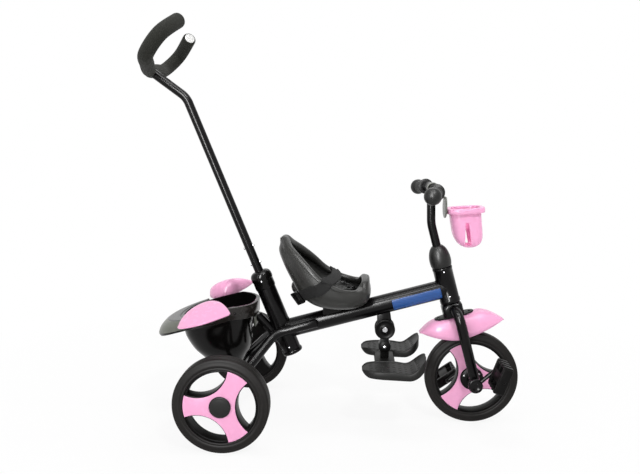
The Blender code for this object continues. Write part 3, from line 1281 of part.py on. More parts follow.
def handle_frames():
    """The C grip's middle line from its right end round to its left end."""
    across, out = handle_axes()
    _, hub = pole_top()
    right = [(ahead, -aside) for ahead, aside in HANDLE_ARM]
    stations = right[::-1] + [(0.0, 0.0)] + HANDLE_ARM
    points = []
    for step in range(2 * HANDLE_STEPS + 1):
        ahead, aside = (smooth_value([station[i] for station in stations], step / (2 * HANDLE_STEPS)) for i in (0, 1))
        points.append(hub + out * ahead + across * aside)
    return path_frames(points, across.cross(out))


def sleeve(frames, radius, wall=0.0, sides=12):
    """A round bar or open sleeve over part of a framed path."""
    outer = [circle(point, across, along, radius, sides) for point, across, along in frames]
    if not wall:
        return loft(outer)
    inner = [circle(point, across, along, radius - wall, sides) for point, across, along in frames]
    return loft(outer + inner[::-1], closed=True)


def make_push_handle(group, looks):
    paint, steel = looks["black_paint"], looks["steel"]
    bend, hub = pole_top()
    path = rounded_path([pole_point(-POLE_INSERT), bend, hub], POLE_BEND_RADIUS)
    pole = add("push_pole", tube(path, POLE_RADIUS), paint, group)
    frames = handle_frames()
    boolean(pole, add_cutter("grip_tube", sleeve(frames, POLE_RADIUS), group, steel), "UNION")
    hollow_top = BUTTON_LOW + BUTTON_PITCH + 0.015
    hollow = tube([pole_point(-POLE_INSERT - 0.01), pole_point(hollow_top)], POLE_RADIUS - WALL)
    boolean(pole, add_cutter("pole_hollow", hollow, group, steel))

    halves = (("right", frames[:HANDLE_STEPS]), ("left", frames[HANDLE_STEPS + 1:]))
    for side, half in halves:
        add(f"{side}_foam_grip", sleeve(half, FOAM_RADIUS, FOAM_RADIUS - FOAM_BORE), looks["foam"], group)
    return pole


def button_way(sign):
    """Out of the pole, ahead (1) or back (-1), square to it."""
    return Vector((math.cos(SOCKET_LEAN), 0, math.sin(SOCKET_LEAN))) * sign


def make_buttons(pole, pole_group, looks):
    steel = looks["steel"]
    inside = POLE_RADIUS - WALL
    for level, height in (("lower", BUTTON_LOW), ("upper", BUTTON_LOW + BUTTON_PITCH)):
        for face, sign in (("front", 1), ("rear", -1)):
            way = button_way(sign)
            seat = pole_point(height)
            group = make_group(f"{level}_{face}_button_slide", seat + way * POLE_RADIUS, pole_group)
            flange = BUTTON_RADIUS + 0.0012
            stop = math.sqrt(inside ** 2 - flange ** 2) - GAP
            tip = POLE_RADIUS + BUTTON_HEIGHT
            profile = [(0, stop - 0.0020), (flange, stop - 0.0020), (flange, stop), (BUTTON_RADIUS, stop),
                       (BUTTON_RADIUS, tip - 0.001), (BUTTON_RADIUS * 0.65, tip - 0.0002), (0, tip)]
            add(f"{level}_{face}_button", turned(profile, seat, way, sides=8), steel, group)
            hole = tube([seat + way * 0.004, seat + way * 0.02], BUTTON_RADIUS + GAP, sides=8)
            boolean(pole, add_cutter(f"{level}_{face}_button_hole", hole, pole_group, steel))


# Assembly

def make_looks():
    return {
        "black_paint": make_material("black_paint", srgb(14, 13, 14), 0.22),
        "gloss_black": make_material("gloss_black", srgb(20, 19, 20), 0.18),
        "black_plastic": make_material("black_plastic", srgb(30, 30, 31), 0.45),
        "dark_plastic": make_material("dark_plastic", srgb(58, 59, 57), 0.5),
        "grey_plastic": make_material("grey_plastic", srgb(88, 90, 84), 0.45),
        "tyre": make_material("tyre", srgb(46, 44, 43), 0.75),
        "foam": make_material("foam", srgb(44, 44, 41), 0.95),
        "pink": make_material("pink", srgb(249, 178, 214), 0.28),
        "webbing": make_material("webbing", srgb(60, 60, 59), 0.9),
        "steel": make_material("steel", srgb(150, 150, 152), 0.3, 1.0),
    }


def centre_on_ground(root):
    """Moves the whole model so that its origin is below the middle of its box."""
    bpy.context.view_layer.update()
    graph = bpy.context.evaluated_depsgraph_get()
    corners = []
    for item in bpy.context.scene.objects:
        if item.type == "MESH" and not item.hide_render:
            evaluated = item.evaluated_get(graph)
            corners += [evaluated.matrix_world @ vertex.co for vertex in evaluated.to_mesh().vertices]
            evaluated.to_mesh_clear()
    middle = [(min(c[i] for c in corners) + max(c[i] for c in corners)) / 2 for i in range(2)]
    root.location -= Vector((middle[0], middle[1], min(c.z for c in corners)))
    print("origin shifted by", tuple(round(value, 6) for value in root.location))
    for i, name in enumerate("xyz"):
        print(name, round(min(c[i] for c in corners), 5), round(max(c[i] for c in corners), 5))


def main():
    clear_scene()
    looks = make_looks()
    root = make_group("tricycle", (0, 0, 0))
    make_frame(root, looks)
    make_bin(root, looks)
    make_lip(root, looks)
    make_bin_support(root, looks)
    for side, sign in (("right", -1), ("left", 1)):
        make_wing(side, sign, root, looks)
        wheel = make_group(f"{side}_rear_wheel_axis", (0, sign * REAR_TRACK / 2, REAR_WHEEL_RADIUS), root)
        make_rear_wheel(side, sign, wheel, looks)
    make_seat(root, looks)
    make_seat_mount(root, looks)
    point, normal, way = make_belt(root, looks)
    make_buckle(point, normal, way, root, looks)
    make_footrest_bracket(root, looks)
    footrest = make_group("footrest_axis", footrest_pivot(), root)
    make_footrest(root, footrest, looks)

    steering = make_group("steering_axis", HEAD_CROSS, root)
    make_fork(steering, looks)
    make_fender(steering, looks)
    make_head_cover(steering, looks)
    make_handlebar(steering, looks)
    make_basket(steering, looks)
    front_wheel = make_group("front_wheel_axis", FRONT_AXLE, steering)
    make_front_wheel(front_wheel, looks)
    make_crank(front_wheel, looks)
    for side, sign, angle in (("right", -1, NEAR_PEDAL_ANGLE), ("left", 1, FAR_PEDAL_ANGLE)):
        pedal = make_group(f"{side}_pedal_axis", crank_end(sign), front_wheel)
        make_pedal(side, sign, angle, pedal, looks)

    handle = make_group("push_handle_slide", COLLAR_TOP, root)
    pole = make_push_handle(handle, looks)
    make_buttons(pole, handle, looks)
    centre_on_ground(root)


main()
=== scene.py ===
"""Child's tricycle with a push handle, dressed over the packed model.

Lengths are in metres. Shapes are laid out with the rear axle at x = 0, and then moved to the packed frame.
"""

import math

import bmesh
import bpy
from mathutils import Matrix, Vector


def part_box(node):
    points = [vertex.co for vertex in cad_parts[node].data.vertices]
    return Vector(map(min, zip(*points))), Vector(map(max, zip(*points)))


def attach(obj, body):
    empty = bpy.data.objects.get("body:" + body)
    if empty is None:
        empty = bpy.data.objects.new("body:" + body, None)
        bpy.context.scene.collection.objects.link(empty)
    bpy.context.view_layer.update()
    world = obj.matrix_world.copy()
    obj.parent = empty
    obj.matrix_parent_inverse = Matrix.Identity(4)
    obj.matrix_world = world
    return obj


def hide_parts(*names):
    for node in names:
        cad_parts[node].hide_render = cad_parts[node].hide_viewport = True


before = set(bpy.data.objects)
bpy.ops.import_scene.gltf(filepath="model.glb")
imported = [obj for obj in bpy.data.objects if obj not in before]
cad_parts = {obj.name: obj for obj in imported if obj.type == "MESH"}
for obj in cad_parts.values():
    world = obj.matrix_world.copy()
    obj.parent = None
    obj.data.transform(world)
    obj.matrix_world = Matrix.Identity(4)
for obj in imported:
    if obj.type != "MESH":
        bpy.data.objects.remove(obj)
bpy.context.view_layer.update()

bl_info = {
    "name": "Push tricycle",
    "version": (1, 0, 0),
    "blender": (4, 5, 0),
    "location": "3D View > Sidebar > Tricycle",
    "description": "Builds the tricycle's wheels, frame, seat, bin, basket, handle and studio",
    "category": "Object",
}

AXLE_X = sum(corner[0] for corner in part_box("rear_axle")) / 2
UP = Vector((0, 0, 1))
LEFT = Vector((0, 1, 0))
AHEAD = Vector((1, 0, 0))
SIDES = (("right", -1), ("left", 1))


# Settings

def length(name, description, default):
    return bpy.props.FloatProperty(name=name, description=description, default=default, min=0.0, max=2.0,
                                   unit="LENGTH", precision=4)


def angle(name, description, degrees):
    return bpy.props.FloatProperty(name=name, description=description, default=math.radians(degrees),
                                   subtype="ANGLE", unit="ROTATION")


def power(name, description, watts):
    return bpy.props.FloatProperty(name=name, description=description, default=watts, min=0.0, max=1000.0,
                                   unit="POWER")


def colour(name, description, *picture_values):
    """A colour given in the eight-bit values of a picture."""
    shares = [value / 255 for value in picture_values]
    linear = [share / 12.92 if share <= 0.04045 else ((share + 0.055) / 1.055) ** 2.4 for share in shares]
    return bpy.props.FloatVectorProperty(name=name, description=description, subtype="COLOR", size=3, min=0.0,
                                         max=1.0, default=linear)


class WheelSettings(bpy.types.PropertyGroup):
    """Sizes of the three wheels, the crank and the pedals."""
    rear_radius: length("Rear radius", "Radius of a rear wheel over its tyre", 0.105)
    front_radius: length("Front radius", "Radius of the front wheel over its tyre", 0.110)
    rear_width: length("Rear width", "Width of a rear tyre", 0.040)
    front_width: length("Front width", "Width of the front tyre", 0.032)
    tyre_depth: length("Tyre depth", "From the tread to the rim", 0.024)
    track: length("Track", "Between the middles of the rear tyres", 0.400)
    wheelbase: length("Wheelbase", "From the rear axle to the front axle", 0.565)
    rim_lip: length("Rim lip", "Width of the ring between tyre and openings", 0.0045)
    opening_radius: length("Opening radius", "Radius of the arc that shapes a spoke's side", 0.0665)
    opening_reach: length("Opening reach", "From the axle to the middle of that arc", 0.1008)
    rear_turn: angle("Rear turn", "Direction of the first spoke of a rear wheel", 60)
    front_turn: angle("Front turn", "Direction of the first spoke of the front wheel", 111)
    crank_length: length("Crank length", "From the front axle to a pedal's spindle", 0.060)
    crank_turn: angle("Crank turn", "Direction of the right crank", 41)


class TubeSettings(bpy.types.PropertyGroup):
    """Sizes of the steel frame and its plastic ends."""
    main_radius: length("Main tube radius", "Radius of the main tube", 0.0225)
    main_tilt: angle("Main tube tilt", "Rise of the main tube towards the front", 15.4)
    head_radius: length("Head tube radius", "Radius of the head tube", 0.0227)
    socket_radius: length("Socket radius", "Radius of the push pole's socket", 0.0225)
    socket_lean: angle("Socket lean", "Backward lean of the socket and the pole", 22.24)
    stay_radius: length("Stay radius", "Radius of a rear stay", 0.011)
    rake: angle("Rake", "Backward lean of the steering axis", 15.1)


class SeatSettings(bpy.types.PropertyGroup):
    """Sizes of the seat's shell and the lap belt."""
    shell: length("Shell", "Thickness of the seat's shell", 0.0046)
    roll: length("Rim roll", "Radius of the roll round the seat's rim", 0.0076)
    belt_width: length("Belt width", "Width of the lap belt", 0.026)
    belt_thickness: length("Belt thickness", "Thickness of the lap belt", 0.0018)


class BinSettings(bpy.types.PropertyGroup):
    """Sizes of the rear bin, its wings and its lip."""
    half_length: length("Half length", "Half the length of the bin's rim", 0.0925)
    half_width: length("Half width", "Half the width of the bin's rim", 0.092)
    band: length("Band", "Height of the band round the rim", 0.030)
    wall: length("Wall", "Thickness of the bin's wall", 0.003)
    tilt: angle("Tilt", "Slope of the bin's rim", 15)
    wing_crown: length("Wing crown", "Height of a wing's crown above its edges", 0.029)


class HandleSettings(bpy.types.PropertyGroup):
    """Sizes of the push handle."""
    pole_radius: length("Pole radius", "Radius of the push pole", 0.0104)
    foam_radius: length("Foam radius", "Radius of the foam on the grip", 0.0163)
    pole_length: length("Pole length", "From the collar to the pole's bend", 0.440)
    head_length: length("Head length", "From the pole's bend to the grip", 0.1046)


class FinishSettings(bpy.types.PropertyGroup):
    """Colours of the materials."""
    pink: colour("Pink", "Wings, fender, basket and wheel covers", 250, 176, 216)
    paint: colour("Black paint", "Steel tubes", 6, 5, 6)
    bin: colour("Black gloss", "Rear bin", 10, 9, 9)
    # A lighter, brownish copy of the bin's black for the band round its rim: painted highlight.
    edge: colour("Bin edge", "Band round the bin's rim", 30, 27, 25)
    moulding: colour("Black moulding", "Rims, pedals and small plastic parts", 15, 14, 14)
    seat: colour("Grey moulding", "Seat", 40, 40, 38)
    plate: colour("Dark moulding", "Footplates and hub caps", 33, 33, 32)
    rubber: colour("Rubber", "Handlebar grips and steering cover", 26, 26, 25)
    lip: colour("Lip grey", "Lip behind the bin and basket bracket", 100, 102, 94)
    plug: colour("Plug", "Plugs in the ends of the push grip", 214, 214, 212)
    tyre: colour("Tyre", "Tyres", 27, 25, 24)
    foam: colour("Foam", "Foam of the push grip", 31, 32, 27)
    webbing: colour("Webbing", "Lap belt", 30, 30, 30)
    steel: colour("Steel", "Screws, crank and snap buttons", 168, 168, 170)
    band: colour("Band", "Plain band along the main tube", 42, 84, 150)


class StageSettings(bpy.types.PropertyGroup):
    """Camera, floor and lamps."""
    lens: bpy.props.FloatProperty(name="Lens", description="Focal length in millimetres", default=38.496,
                                  min=10.0, max=200.0)
    floor: colour("Floor", "Floor and backdrop", 246, 246, 246)
    fill: bpy.props.FloatProperty(name="Sky", description="Strength of the even light", default=0.56, min=0.0,
                                  max=3.0)
    key: power("Key lamp", "Power of the main lamp", 34.0)
    soft: power("Soft lamps", "Power that the top, side and back lamps share out", 15.0)
    card: power("Cards", "Power of the cards that only glosses show", 200.0)


GROUPS = {"wheels": WheelSettings, "tubes": TubeSettings, "seat": SeatSettings, "bin": BinSettings,
          "handle": HandleSettings, "finishes": FinishSettings, "stage": StageSettings}


class TricycleSettings(bpy.types.PropertyGroup):
    """All settings of the tricycle."""


TricycleSettings.__annotations__ = {
    name: bpy.props.PointerProperty(type=group, name=name.title(), description=group.__doc__)
    for name, group in GROUPS.items()
}


def settings():
    return bpy.context.scene.tricycle


# Paths and outlines

def bent(value, exponent):
    """A power of the value that keeps its sign."""
    return math.copysign(abs(value) ** exponent, value)


def circle(count):
    """Evenly spaced angles all the way round."""
    return [2 * math.pi * i / count for i in range(count)]


def spaced(start, end, steps):
    """Evenly spaced values from start to end, both included."""
    return [start + (end - start) * i / steps for i in range(steps + 1)]


def leaning(tip):
    """The directions ahead and up, both tipped back by an angle."""
    return Vector((math.cos(tip), 0, math.sin(tip))), Vector((-math.sin(tip), 0, math.cos(tip)))


def frames_along(path, hint=LEFT):
    """A matrix for each point of a path, its Z along the path and its X turned as little as can be."""
    path = [Vector(point) for point in path]
    runs = [(b - a).normalized() for a, b in zip(path, path[1:])]
    ways = [runs[0]] + [(a + b).normalized() for a, b in zip(runs, runs[1:])] + [runs[-1]]
    across = hint - hint.dot(ways[0]) * ways[0]
    if across.length < 0.1:
        across = UP - UP.dot(ways[0]) * ways[0]
    frames = []
    for point, way in zip(path, ways):
        across = (across - across.dot(way) * way).normalized()
        matrix = Matrix((across, way.cross(across), way)).transposed().to_4x4()
        matrix.translation = point
        frames.append(matrix)
    return frames


def rounded_path(corners, radius, steps=12):
    """The corners joined by straight runs, each inner corner turned into an arc of this radius."""
    corners = [Vector(corner) for corner in corners]
    path = [corners[0]]
    for before, corner, after in zip(corners, corners[1:], corners[2:]):
        into, out = (before - corner).normalized(), (after - corner).normalized()
        half = into.angle(out) / 2
        centre = corner + (into + out).normalized() * radius / math.sin(half)
        start = corner + into * radius / math.tan(half) - centre
        end = corner + out * radius / math.tan(half) - centre
        path += [centre + start.slerp(end, i / steps).normalized() * radius for i in range(steps + 1)]
    return path + [corners[-1]]


def smooth_value(stations, t):
    """A smooth curve through evenly spaced stations, read at t from 0 to 1."""
    last = len(stations) - 1
    place = min(max(t, 0.0), 1.0) * last
    i = min(int(place), last - 1)
    f = place - i
    p0, p1, p2, p3 = (stations[min(max(j, 0), last)] for j in (i - 1, i, i + 1, i + 2))
    return 0.5 * (2 * p1 + (p2 - p0) * f + (2 * p0 - 5 * p1 + 4 * p2 - p3) * f ** 2
                  + (3 * p1 - 3 * p2 + p3 - p0) * f ** 3)


def read_stations(stations, t):
    """Every column of a table of evenly spaced stations, read at t."""
    return [smooth_value(column, t) for column in zip(*stations)]


def smooth_path(points, steps):
    """A smooth path through the points."""
    return [Vector(read_stations(points, step / steps)) for step in range(steps + 1)]


def oval(centre, across, along, half_across, half_along, shape=2.0, sides=96):
    """Points round a superellipse. A shape of 2 is an ellipse, and more is squarer."""
    return [centre + bent(math.cos(turn), 2 / shape) * half_across * across
            + bent(math.sin(turn), 2 / shape) * half_along * along for turn in circle(sides)]


def hoop(matrix, radius, sides):
    """Points of a circle in a matrix's own XY plane."""
    return [matrix @ Vector((radius * math.cos(turn), radius * math.sin(turn), 0)) for turn in circle(sides)]


def drum(bore, radius, low, high, bevel=0.001):
    """The outline of a round plate with bevelled edges, for a lathe."""
    return [(bore, low), (radius - bevel, low), (radius, low + bevel), (radius, high - bevel),
            (radius - bevel, high), (bore, high)]


# Solid shapes

def new_ring(bm, edges):
    """Extrudes a loop of edges, and gives its new vertices and its new edges."""
    made = bmesh.ops.extrude_edge_only(bm, edges=edges)["geom"]
    fresh = {item for item in made if isinstance(item, bmesh.types.BMVert)}
    drawn = [item for item in made if isinstance(item, bmesh.types.BMEdge)]
    return fresh, [edge for edge in drawn if fresh.issuperset(edge.verts)]


def fill_ends(bm, *loops):
    for loop in loops:
        bmesh.ops.edgeloop_fill(bm, edges=loop)


def sweep(frames, radius, sides=40, sizes=None, closed_ends=True):
    """A round bar: a circle extruded from frame to frame, scaled by sizes, a pair for each frame."""
    sizes = sizes or [(1, 1)] * len(frames)
    shaped = [matrix @ Matrix.Diagonal((a, b, 1, 1)) for matrix, (a, b) in zip(frames, sizes)]
    bm = bmesh.new()
    bmesh.ops.create_circle(bm, radius=radius, segments=sides, matrix=shaped[0])
    first = loop = bm.edges[:]
    for before, after in zip(shaped, shaped[1:]):
        fresh, loop = new_ring(bm, loop)
        bmesh.ops.transform(bm, matrix=after @ before.inverted(), verts=list(fresh))
    if closed_ends:
        fill_ends(bm, first, loop)
    return bm


def rod(start, end, radius, sides=64):
    """A straight round bar."""
    return sweep(frames_along([start, end]), radius, sides)


def loft(rings, closed=False):
    """A circle extruded from ring to ring, each ring given as points. An open loft gets its ends filled."""
    bm = bmesh.new()
    bmesh.ops.create_circle(bm, radius=1, segments=len(rings[0]))
    order = {vert: i for i, vert in enumerate(bm.verts)}
    for vert, i in order.items():
        vert.co = rings[0][i]
    first = loop = bm.edges[:]
    for ring in rings[1:]:
        fresh, loop = new_ring(bm, loop)
        neighbours = {vert: [edge.other_vert(vert) for edge in vert.link_edges] for vert in fresh}
        order = {vert: order[other] for vert in fresh for other in neighbours[vert] if other in order}
        for vert, i in order.items():
            vert.co = ring[i]
    if closed:
        bmesh.ops.bridge_loops(bm, edges=first + loop)
    else:
        fill_ends(bm, first, loop)
    return bm


def lathe(profile, origin, axis, sides=96, hint=LEFT):
    """Spins a closed outline of (radius, height) points round an axis."""
    axis = Vector(axis).normalized()
    matrix = frames_along([origin, origin + axis], hint)[0]
    bm = bmesh.new()
    verts = [bm.verts.new(matrix @ Vector((radius, 0, height))) for radius, height in profile]
    edges = [bm.edges.new((verts[i - 1], verts[i])) for i in range(len(verts))
             if max(profile[i - 1][0], profile[i][0]) > 1e-6]
    bmesh.ops.spin(bm, geom=verts + edges, cent=origin, axis=axis, angle=2 * math.pi, steps=sides,
                   use_merge=True)
    bmesh.ops.remove_doubles(bm, verts=bm.verts, dist=1e-6)
    return bm


def plate(outlines, depth):
    """A flat sheet with the first outline as its edge and the others as holes, pushed along a vector."""
    bm = bmesh.new()
    for outline in outlines:
        verts = [bm.verts.new(point) for point in outline]
        for i in range(len(verts)):
            bm.edges.new((verts[i - 1], verts[i]))
    bmesh.ops.triangle_fill(bm, use_beauty=True, use_dissolve=False, edges=bm.edges[:])
    bmesh.ops.dissolve_limit(bm, angle_limit=0.01, verts=bm.verts[:], edges=bm.edges[:])
    pushed = bmesh.ops.extrude_face_region(bm, geom=bm.faces[:])["geom"]
    verts = [item for item in pushed if isinstance(item, bmesh.types.BMVert)]
    bmesh.ops.translate(bm, vec=depth, verts=verts)
    return bm


def block(low, high):
    """A box between two corners."""
    low, high = Vector(low), Vector(high)
    matrix = Matrix.Translation((low + high) / 2) @ Matrix.Diagonal((*(high - low), 1))
    bm = bmesh.new()
    bmesh.ops.create_cube(bm, size=1, matrix=matrix)
    return bm


def skin(columns, rows, point):
    """A grid laid on a surface: point(u, v) takes both from 0 to 1. The grid's squares become the UV map."""
    bm = bmesh.new()
    bmesh.ops.create_grid(bm, x_segments=columns, y_segments=rows, size=1.0)
    places = {vert: ((vert.co.x + 1) / 2, (vert.co.y + 1) / 2) for vert in bm.verts}
    layer = bm.loops.layers.uv.new("surface")
    for face in bm.faces:
        for loop in face.loops:
            loop[layer].uv = places[loop.vert]
    for vert, (u, v) in places.items():
        vert.co = point(u, v)
    return bm


def as_mesh(bm, name):
    mesh = bpy.data.meshes.new(name)
    bm.to_mesh(mesh)
    bm.free()
    return mesh


def join(*parts):
    """All these shapes in one."""
    whole = parts[0]
    for part in parts[1:]:
        mesh = as_mesh(part, "part")
        whole.from_mesh(mesh)
        bpy.data.meshes.remove(mesh)
    return whole


def soften(bm, width, segments=2, limit=35):
    """Rounds each edge that is sharper than the limit."""
    bmesh.ops.recalc_face_normals(bm, faces=bm.faces)
    edges = [edge for edge in bm.edges if edge.is_manifold and edge.calc_face_angle(0) > math.radians(limit)]
    bmesh.ops.bevel(bm, geom=edges, offset=width, offset_type="OFFSET", affect="EDGES", segments=segments,
                    profile=0.5, clamp_overlap=True, material=-1)
    return bm


SCREW_OUTLINE = ((0, 0.45), (0.30, 0.45), (0.38, 1), (0.7, 0.86), (0.93, 0.5), (1, 0))
SCREW_SUNK = 0.0006


def screw(point, way, radius, height=0.0014):
    """A domed screw head with a round recess."""
    dome = [(radius * out, height * rise) for out, rise in SCREW_OUTLINE]
    return lathe(dome + [(radius, -SCREW_SUNK), (0, -SCREW_SUNK)], Vector(point), way, sides=28, hint=UP)


# Objects

def place_object(name, data):
    item = bpy.data.objects.new(name, data)
    bpy.context.scene.collection.objects.link(item)
    return item


def add_piece(name, bm, finish, body, *nodes, smooth=50, wall=0.0, outward=0.0, slot=None):
    """Makes the shape an object that rides on a body and stands for these nodes."""
    bmesh.ops.remove_doubles(bm, verts=bm.verts, dist=1e-7)
    bmesh.ops.recalc_face_normals(bm, faces=bm.faces)
    bmesh.ops.translate(bm, vec=(AXLE_X, 0, 0), verts=bm.verts)
    mesh = as_mesh(bm, name)
    mesh.shade_smooth()
    mesh.set_sharp_from_angle(angle=math.radians(smooth))
    mesh.materials.append(material(finish))
    item = place_object(name, mesh)
    if wall:
        modifier = item.modifiers.new("wall", "SOLIDIFY")
        modifier.thickness, modifier.offset, modifier.use_even_offset = wall, outward, True
    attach(item, body)
    if nodes:
        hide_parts(*nodes)
    return item


def carve(item, *tools):
    """Cuts the shapes out of a piece, and leaves a plain mesh."""
    cutters = []
    for bm in tools:
        bmesh.ops.recalc_face_normals(bm, faces=bm.faces)
        bmesh.ops.translate(bm, vec=(AXLE_X, 0, 0), verts=bm.verts)
        cutters.append(place_object("cutter", as_mesh(bm, "cutter")))
        modifier = item.modifiers.new("cut", "BOOLEAN")
        modifier.object, modifier.solver = cutters[-1], "EXACT"
    graph = bpy.context.evaluated_depsgraph_get()
    mesh = bpy.data.meshes.new_from_object(item.evaluated_get(graph))
    item.modifiers.clear()
    item.data = mesh
    for cutter in cutters:
        bpy.data.objects.remove(cutter)


def dress_node(node, finish):
    """Gives a packed node the finish, and leaves its shape."""
    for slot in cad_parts[node].material_slots:
        slot.link = "OBJECT"
        slot.material = material(finish)


# Shared shader groups

def group_tree(name, inputs, outputs):
    """An empty shader node group with these sockets."""
    tree = bpy.data.node_groups.new(name, "ShaderNodeTree")
    for socket, value in inputs.items():
        made = tree.interface.new_socket(socket, in_out="INPUT", socket_type="NodeSocketFloat")
        made.default_value = value
    for socket in outputs:
        tree.interface.new_socket(socket, in_out="OUTPUT", socket_type="NodeSocketFloat")
    return tree, tree.nodes.new("NodeGroupInput").outputs, tree.nodes.new("NodeGroupOutput").inputs


def connect(tree, value, socket):
    """Links a socket, or sets its value."""
    if isinstance(value, bpy.types.NodeSocket):
        tree.links.new(value, socket)
    else:
        socket.default_value = value


def noise(tree, vector, scale, detail=2.0, roughness=0.5):
    node = tree.nodes.new("ShaderNodeTexNoise")
    for socket, value in (("Vector", vector), ("Scale", scale), ("Detail", detail), ("Roughness", roughness)):
        connect(tree, value, node.inputs[socket])
    return node.outputs["Fac"]


def maths(tree, operation, *values, clamp=False):
    node = tree.nodes.new("ShaderNodeMath")
    node.operation, node.use_clamp = operation, clamp
    for value, socket in zip(values, node.inputs):
        connect(tree, value, socket)
    return node.outputs[0]


def spread(tree, *values):
    """Maps a value from one range to another, and holds it there. Takes the value and the ends of both."""
    node = tree.nodes.new("ShaderNodeMapRange")
    for socket, value in zip(("Value", "From Min", "From Max", "To Min", "To Max"), values):
        connect(tree, value, node.inputs[socket])
    return node.outputs["Result"]


def split(tree, vector):
    node = tree.nodes.new("ShaderNodeSeparateXYZ")
    tree.links.new(vector, node.inputs["Vector"])
    return node.outputs


def coordinates(tree, kind="Object"):
    return tree.nodes.new("ShaderNodeTexCoord").outputs[kind]


def grain_group(name):
    """Spark-eroded texture of a moulding: fine pits over a slow unevenness."""
    tree, given, result = group_tree(name, {"Scale": 900.0, "Slow Scale": 14.0}, ["Height", "Fine", "Slow"])
    place = coordinates(tree)
    fine = noise(tree, place, given["Scale"], 3.0, 0.6)
    cells = tree.nodes.new("ShaderNodeTexVoronoi")
    tree.links.new(place, cells.inputs["Vector"])
    tree.links.new(given["Scale"], cells.inputs["Scale"])
    pits = maths(tree, "MULTIPLY", spread(tree, cells.outputs["Distance"], 0.0, 0.7, 0.0, 1.0), 0.6)
    tree.links.new(maths(tree, "ADD", fine, pits), result["Height"])
    tree.links.new(fine, result["Fine"])
    slow = noise(tree, place, given["Slow Scale"], 4.0, 0.55)
    tree.links.new(spread(tree, slow, 0.3, 0.7, 0.0, 1.0), result["Slow"])
    return tree


def dust_group(name):
    """Fine dust: more on what faces up, broken up by noise."""
    tree, given, result = group_tree(name, {"Amount": 0.3, "Scale": 60.0}, ["Dust"])
    normal = tree.nodes.new("ShaderNodeNewGeometry").outputs["Normal"]
    up = spread(tree, split(tree, normal)["Z"], -0.2, 0.9, 0.15, 1.0)
    specks = noise(tree, coordinates(tree), given["Scale"], 6.0, 0.7)
    broken = spread(tree, specks, 0.42, 0.75, 0.0, 1.0)
    dust = maths(tree, "MULTIPLY", maths(tree, "MULTIPLY", up, broken), given["Amount"], clamp=True)
    tree.links.new(dust, result["Dust"])
    return tree


def weave_group(name):
    """Ribbed webbing on the UV map, whose U runs along the strap and V across it. Its raised weave is
    coloured lighter than its grooves, a painted highlight and shade.
    """
    tree, given, result = group_tree(name, {"Picks": 120.0, "Ends": 22.0}, ["Height", "Tone", "Edge"])
    place = split(tree, coordinates(tree, "UV"))
    along = maths(tree, "MULTIPLY", place["X"], given["Picks"])
    across = maths(tree, "MULTIPLY", place["Y"], given["Ends"])
    twill = maths(tree, "SINE", maths(tree, "MULTIPLY", maths(tree, "ADD", along, across), 2 * math.pi))
    ribs = maths(tree, "SINE", maths(tree, "MULTIPLY", across, 2 * math.pi))
    height = maths(tree, "ADD", maths(tree, "MULTIPLY", twill, 0.5), maths(tree, "MULTIPLY", ribs, 0.4))
    tree.links.new(height, result["Height"])
    # Lighter where the weave stands higher: painted highlight and shade.
    tree.links.new(spread(tree, height, -0.9, 0.9, 0.0, 1.0), result["Tone"])
    middle = maths(tree, "ABSOLUTE", maths(tree, "SUBTRACT", place["Y"], 0.5))
    tree.links.new(spread(tree, middle, 0.40, 0.44, 0.0, 1.0), result["Edge"])
    return tree


def brushed_group(name):
    """Fine lines along the piece's own Y."""
    tree, given, result = group_tree(name, {"Scale": 400.0}, ["Lines"])
    mapping = tree.nodes.new("ShaderNodeMapping")
    mapping.inputs["Scale"].default_value = (1.0, 0.04, 1.0)
    tree.links.new(coordinates(tree), mapping.inputs["Vector"])
    lines = noise(tree, mapping.outputs["Vector"], given["Scale"], 3.0, 0.6)
    tree.links.new(spread(tree, lines, 0.3, 0.7, 0.0, 1.0), result["Lines"])
    return tree


GROUP_MAKERS = {"moulded_grain": grain_group, "settled_dust": dust_group, "webbing_weave": weave_group,
                "drawn_lines": brushed_group}


def place_group(tree, name, **values):
    """Puts the shared group in a material, with its own values, and gives its outputs."""
    node = tree.nodes.new("ShaderNodeGroup")
    node.node_tree = bpy.data.node_groups.get(name) or GROUP_MAKERS[name](name)
    for socket, value in values.items():
        node.inputs[socket].default_value = value
    return node.outputs


# Materials

def recipe(slot, tint, lift, rough, grain, bump, dust=0.01, gloss=0.5, **sockets):
    """How a material is made: record slot (not used), colour setting, how much lighter its high spots are,
    its least and most roughness, grain scale, bump depth, dust amount, gloss, and other sockets of the
    shader."""
    sockets = {socket.replace("_", " "): value for socket, value in sockets.items()}
    return dict(slot=slot, tint=tint, lift=lift, rough=rough, grain=grain, bump=bump, dust=dust,
                sockets={"Specular IOR Level": gloss, **sockets})


